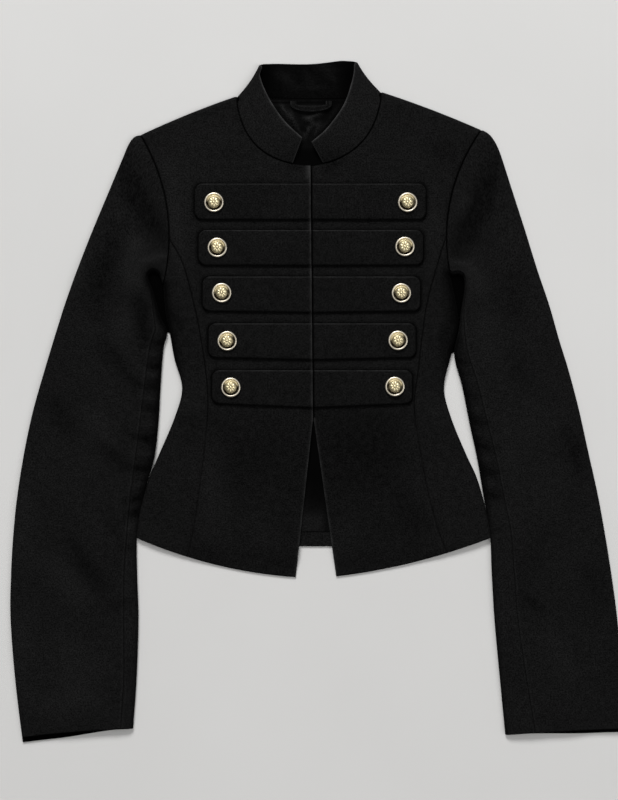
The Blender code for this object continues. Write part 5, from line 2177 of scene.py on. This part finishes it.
@dataclass
class Button:
    """A turned metal button: a flat back, a raised rim, a groove and a dome with a rosette."""

    rings: tuple[Ring, ...] = (
        Ring(9.2, 0), Ring(10.4, 0.5), Ring(10.8, 1.3), Ring(10.8, 2), Ring(10.6, 2.6), Ring(10.15, 3),
        Ring(9.65, 3.15), Ring(9.15, 3.05), Ring(8.8, 2.75), Ring(8.6, 2.2), Ring(8.4, 1.65),
        Ring(7.8, 1.5), Ring(7, 1.55), Ring(6.65, 1.95), Ring(6.5, 2.7), Ring(6.45, 3.6),
        Ring(6.25, 4.3), Ring(5.75, 4.8), Ring(4.8, 5.15), Ring(3.6, 5.4), Ring(2.3, 5.55),
        Ring(1.1, 5.6),
    )
    facets: int = 64
    petals: int = 8
    petal_length: float = 1.9
    petal_width: float = 1.15
    petal_height: float = 0.42
    petal_radius: float = 3.6
    boss: float = 1.4
    boss_height: float = 0.75
    dome_radius: float = 7.7
    dome_low: float = 2.5
    sunk: float = 0.2
    crisp: float = 50.0
    # Painted shade in the groove: a little all round and more on the lower side, away from the key light.
    least_groove_shade: float = 0.2
    lower_side_groove_shade: float = 0.8
    recess_gain: Ramp = Ramp(0.7, -0.6)
    groove_out: Ramp = Ramp(8.85, -0.3)
    groove_in: Ramp = Ramp(6.25, 0.3)
    groove_top: float = 4.0
    petal_gap: float = 0.12
    petal_gap_shade: float = 0.55
    rosette_radius: float = 5.8
    rim_from: Ramp = Ramp(8.3, 0.5)
    sewn: tuple[Sewn, ...] = (
        Sewn(4, 1.5, -1), Sewn(-9, 1.1, 0), Sewn(13, 1.5, 1.3), Sewn(21, 1, 0), Sewn(-5, 1, 0.5),
        Sewn(8, -0.5, -1), Sewn(-15, -0.5, 1), Sewn(2, -1.4, 1), Sewn(17, 0, 0.5), Sewn(-11, 0.5, 1.4),
    )

    def dome_z(self, radius: Array) -> Array:
        """Height of the turned profile inside the groove."""
        rings = [ring for ring in self.rings if ring.radius < self.dome_radius and ring.z > self.dome_low]
        inside = sorted((ring.radius, ring.z) for ring in rings)
        return np.interp(radius, *zip(*inside))

    def turned(self) -> Object:
        """The turned body, drawn up ring by ring from a disc."""
        sizes = {"vertices": self.facets, "radius": self.rings[0].radius * MM}
        body = started(bpy.ops.mesh.primitive_circle_add, **sizes, fill_type="NGON")
        for low, high in zip(self.rings, self.rings[1:]):
            rise = (0.0, 0.0, (high.z - low.z) * MM)
            bpy.ops.mesh.extrude_region_move(TRANSFORM_OT_translate={"value": rise})
            ratio = high.radius / low.radius
            bpy.ops.transform.resize(value=(ratio, ratio, 1.0), center_override=ORIGIN)
        bpy.ops.mesh.poke()
        bpy.ops.mesh.select_all(action="SELECT")
        bpy.ops.mesh.normals_make_consistent(inside=False)
        bpy.ops.object.mode_set(mode="OBJECT")
        return body

    def drop(self, length: float, width: float, height: float, radius: float) -> Object:
        """A flattened bead on the dome.

        Args:
            length: Its half length, outwards.
            width: Its half width.
            height: Its half height.
            radius: How far it is from the middle.

        Returns:
            The bead.
        """
        bead = started(bpy.ops.mesh.primitive_uv_sphere_add, segments=20, ring_count=12, radius=MM)
        bpy.ops.transform.resize(value=(length, width, height), center_override=ORIGIN)
        lean = math.atan2(self.dome_z(radius - 1.0) - self.dome_z(radius + 1.0), 2.0) if radius else 0.0
        bpy.ops.transform.rotate(value=-lean, orient_axis="Y", center_override=ORIGIN)
        bpy.ops.transform.translate(value=(radius * MM, 0.0, float(self.dome_z(radius)) * MM))
        bpy.ops.object.mode_set(mode="OBJECT")
        return bead

    def rosette(self) -> list[Object]:
        """The petals and the boss in their middle."""
        petal = self.drop(self.petal_length, self.petal_width, self.petal_height, self.petal_radius)
        bpy.ops.object.mode_set(mode="EDIT")
        bpy.ops.mesh.select_all(action="SELECT")
        angle = 2.0 * math.pi * (self.petals - 1) / self.petals
        steps, axis = self.petals - 1, (0.0, 0.0, 1.0)
        bpy.ops.mesh.spin(steps=steps, dupli=True, angle=angle, center=ORIGIN, axis=axis)
        bpy.ops.mesh.select_all(action="SELECT")
        bpy.ops.mesh.normals_make_consistent(inside=False)
        bpy.ops.object.mode_set(mode="OBJECT")
        return [petal, self.drop(self.boss, self.boss, self.boss_height, 0.0)]

    def model(self) -> Mesh:
        """The whole button at the origin, with a mask of painted shade in its recesses and one of its rim.
        """
        button = joined([self.turned(), *self.rosette()])
        bpy.ops.object.shade_smooth_by_angle(angle=math.radians(self.crisp))
        mesh = button.data
        places = np.empty(len(mesh.vertices) * 3, np.float32)
        mesh.vertices.foreach_get("co", places)
        x, y, z = places.reshape(-1, 3).T / MM
        radius = np.hypot(x, y)
        upward = y / np.maximum(radius, 1.0)
        # Painted shade in the groove, heavier on the lower side.
        groove_shade = self.least_groove_shade + self.lower_side_groove_shade * self.recess_gain.at(upward)
        groove = groove_shade * self.groove_out.at(radius) * self.groove_in.at(radius) * (z < self.groove_top)
        # Painted shade between the petals of the rosette.
        low = (self.dome_z(radius) + self.petal_gap - z) / self.petal_gap
        between = np.clip(low, 0.0, 1.0) * (radius < self.rosette_radius) * self.petal_gap_shade
        add_mask(mesh, "recess", np.maximum(groove, between))
        add_mask(mesh, "rim", self.rim_from.at(radius))
        bpy.data.objects.remove(button)
        return mesh

    def build(self, place: Place, tabs: dict[str, TabPiece], brass: Material) -> None:
        """Sets a copy on each tab.

        Args:
            place: Where the draft lies.
            tabs: The tabs, by the node of the button on each.
            brass: The material.
        """
        master = self.model()
        master.materials.clear()
        master.materials.append(brass)
        for sewn, (node, tab) in zip(self.sewn, tabs.items()):
            spot = np.array(button_spot(tab.side, tab.tab)) + np.array((sewn.off_x, sewn.off_y))
            z = float(tab.top(spot)) - self.sunk
            mesh = master.copy()
            where = place.metres(np.array((*spot, z)))
            mesh.transform(Matrix.Translation(where) @ Matrix.Rotation(math.radians(sewn.turn), 4, "Z"))
            button = new_object(f"{node}_metal", mesh)
            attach(button, "root")
            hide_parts(node)
            LOG.info("%s: %d faces", button.name, len(mesh.polygons))
        bpy.data.meshes.remove(master)


@dataclass
class NeckStitching:
    """Rows of stitches along the back of the neck, and those that hold the loop."""

    row_y: tuple[float, ...] = (351.0, 355.0)
    row_z: tuple[float, ...] = (3.4, 2.3)
    half_row: float = 44.0
    stitch: float = 2.5
    gap: float = 0.9
    radius: float = 0.28
    tack_x: float = 19.5
    tack_y: float = 351.2
    tack_z: float = 5.6
    row_slope: float = 0.02
    tacks: int = 4
    tack_pitch: float = 1.6
    tack_turn: float = 78.0

    def stitch_mesh(self) -> Mesh:
        """One stitch along x at the origin: a short thread that dips at its ends."""
        thread = started(bpy.ops.mesh.primitive_uv_sphere_add, segments=8, ring_count=6, radius=MM)
        bpy.ops.transform.rotate(value=math.radians(90.0), orient_axis="Y", center_override=ORIGIN)
        size = (self.stitch / 2, self.radius, self.radius)
        bpy.ops.transform.resize(value=size, center_override=ORIGIN)
        bpy.ops.object.mode_set(mode="OBJECT")
        mesh = thread.data
        bpy.data.objects.remove(thread)
        return mesh

    def places(self) -> list[Matrix]:
        """Where each stitch goes, in draft sizes."""
        pitch = self.stitch + self.gap
        places = []
        for y, z in zip(self.row_y, self.row_z):
            for x in np.arange(-self.half_row, self.half_row, pitch):
                places.append(Matrix.Translation((x, y + self.row_slope * x, z)))
        for side in Side:
            for k in range(self.tacks):
                x = side.out * self.tack_x + (k - (self.tacks - 1) / 2) * self.tack_pitch
                turn = Matrix.Rotation(math.radians(self.tack_turn), 4, "Z")
                places.append(Matrix.Translation((x, self.tack_y, self.tack_z)) @ turn)
        return places

    def build(self, place: Place, thread: Material) -> Object:
        """Makes all the stitches as one piece.

        Args:
            place: Where the draft lies.
            thread: The material.

        Returns:
            The piece.
        """
        master = self.stitch_mesh()
        copies = []
        for spot in self.places():
            mesh = master.copy()
            spot.translation = place.metres(np.array(spot.translation))
            mesh.transform(spot)
            copies.append(new_object("stitch", mesh))
        piece = joined(copies)
        bpy.ops.object.shade_smooth()
        piece.name = "neck_stitching"
        piece.data.materials.clear()
        piece.data.materials.append(thread)
        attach(piece, "root")
        LOG.info("%s: %d faces", piece.name, len(piece.data.polygons))
        bpy.data.meshes.remove(master)
        return piece


# The studio.


class Lamp(NamedTuple):
    """A soft light that points at the origin: where it hangs, its size and its power."""

    name: str
    spot: tuple[float, float, float]
    size: float
    power: float


@dataclass
class Studio:
    """A plain pale floor, soft light, and a camera straight above."""

    middle: Spot = (-2.2, 22.0)
    frame_height: float = 880.0
    focus_z: float = 6.0
    camera_height: float = 2400.0
    sensor: float = 36.0
    aspect: float = 618.0 / 800.0
    floor_size: float = 8.0
    floor_drop: float = 0.2
    sky: float = 0.19
    lamps: tuple[Lamp, ...] = (
        Lamp("key", (-0.9, 5.0, 3.8), 2.4, 370.0),
        Lamp("overhead", (0.2, -0.1, 3.0), 3.4, 24.0),
        Lamp("fill", (3.0, -0.8, 3.2), 2.6, 34.0),
    )

    def build(self, place: Place) -> None:
        """Sets up the floor, the lights and the camera.

        Args:
            place: Where the draft lies.
        """
        self.lay_floor()
        self.light()
        data = bpy.data.cameras.new("camera")
        data.sensor_fit = "VERTICAL"
        data.sensor_height = self.sensor
        data.sensor_width = self.sensor * self.aspect
        data.lens = self.sensor * (self.camera_height - self.focus_z) / self.frame_height
        camera = bpy.data.objects.new("camera", data)
        camera.location = place.metres(np.array((*self.middle, self.camera_height)))
        bpy.context.scene.collection.objects.link(camera)
        bpy.context.scene.camera = camera
        bpy.context.scene.view_settings.view_transform = "Standard"

    def lay_floor(self) -> None:
        """A large plane under the jacket."""
        bpy.ops.object.select_all(action="DESELECT")
        bpy.ops.mesh.primitive_plane_add(size=self.floor_size, location=(0.0, 0.0, -self.floor_drop * MM))
        floor = bpy.context.active_object
        floor.name = "floor"
        floor.data.materials.append(PALE_FLOOR.material())

    def light(self) -> None:
        """Soft lamps and an even sky."""
        for lamp in self.lamps:
            data = bpy.data.lights.new(lamp.name, "AREA")
            data.shape = "DISK"
            data.size = lamp.size
            data.energy = lamp.power
            obj = bpy.data.objects.new(lamp.name, data)
            hung = Matrix.Translation(lamp.spot)
            obj.matrix_world = hung @ hung.translation.to_track_quat("Z", "Y").to_matrix().to_4x4()
            bpy.context.scene.collection.objects.link(obj)
        world = bpy.data.worlds.new("sky")
        world.use_nodes = True
        sky = world.node_tree.nodes["Background"]
        Bench(world.node_tree).fill(sky, {"Color": grey(1.0), "Strength": self.sky})
        bpy.context.scene.world = world


@dataclass
class Jacket:
    """The whole jacket, piece by piece."""

    place: Place
    wardrobe: Wardrobe

    def body(self) -> list[ClothPiece]:
        """The back, its lining, the collar, the loop and the front panels."""
        lining = Cut(0.352, 0.487, 0.1232)
        pieces: list[ClothPiece] = [
            BackPiece("back", Cut(0.392, 0.502, 0.1594), ("floor",), self.place),
            LiningPiece("back_lining", lining, ("back_cloth",), self.place, 1.0, "lining"),
            CollarPiece("collar", Cut(0.040, 0.363, 0.0124), ("back_cloth",), self.place, 2.2),
            LoopPiece("hanger_loop", Cut(0.010, 0.060, 0.00040), ("back_lining_satin",), self.place, 1.2),
        ]
        for side in Side:
            under = ("back_cloth", "back_lining_satin")
            front, flank = Cut(0.234, 0.528, 0.0650), Cut(0.062, 0.360, 0.0139)
            pieces.append(FrontPiece(f"front_{side.value}", front, under, self.place, side=side))
            pieces.append(SideFrontPiece(f"side_front_{side.value}", flank, under, self.place, side=side))
        return pieces

    def sleeves(self) -> list[ClothPiece]:
        """The two halves of each sleeve."""
        pieces: list[ClothPiece] = []
        upper_cuts = {Side.RIGHT: Cut(0.170, 0.690, 0.0712), Side.LEFT: Cut(0.167, 0.686, 0.0645)}
        for side, drop in ((Side.RIGHT, 6.0), (Side.LEFT, 3.8)):
            under, upper = f"sleeve_under_{side.value}", f"sleeve_upper_{side.value}"
            cut, below = Cut(0.173, 0.695, 0.0857), (f"{under}_cloth",)
            pieces.append(SleeveUnderPiece(under, cut, ("floor",), self.place, side=side, cuff_drop=drop))
            pieces.append(SleeveUpperPiece(upper, upper_cuts[side], below, self.place, side=side))
        return pieces

    def tabs(self) -> dict[str, TabPiece]:
        """The tabs, by the node of the button on each."""
        tabs = {}
        for side in Side:
            for number, tab in enumerate(TABS, start=1):
                length, width = abs(tab.end(side)) * MM, (tab.top - tab.bottom) * MM
                cut = Cut(round(width, 4), round(length, 4), round(TAB_FILL * width * length, 6))
                below = (f"front_{side.value}_cloth",)
                node = f"tab_{side.value}_{number}"
                piece = TabPiece(node, cut, below, self.place, TAB_THICKNESS, side=side, tab=tab)
                tabs[f"button_{side.value}_{number}"] = piece
        return tabs

    def build(self) -> None:
        """Makes and dresses every piece."""
        tabs = self.tabs()
        for piece in [*self.body(), *self.sleeves(), *tabs.values()]:
            piece.build(self.wardrobe.satin if isinstance(piece, LiningPiece) else self.wardrobe.wool)
        Button().build(self.place, tabs, self.wardrobe.brass)
        NeckStitching().build(self.place, self.wardrobe.thread)


def main() -> None:
    """Builds the jacket and its studio."""
    logging.basicConfig(level=logging.INFO, format="%(name)s %(message)s")
    place = Place("button_right_1", button_spot(Side.RIGHT, TABS[0]))
    Studio().build(place)
    Jacket(place, Wardrobe.filled()).build()


if __name__ == "__main__":
    main()
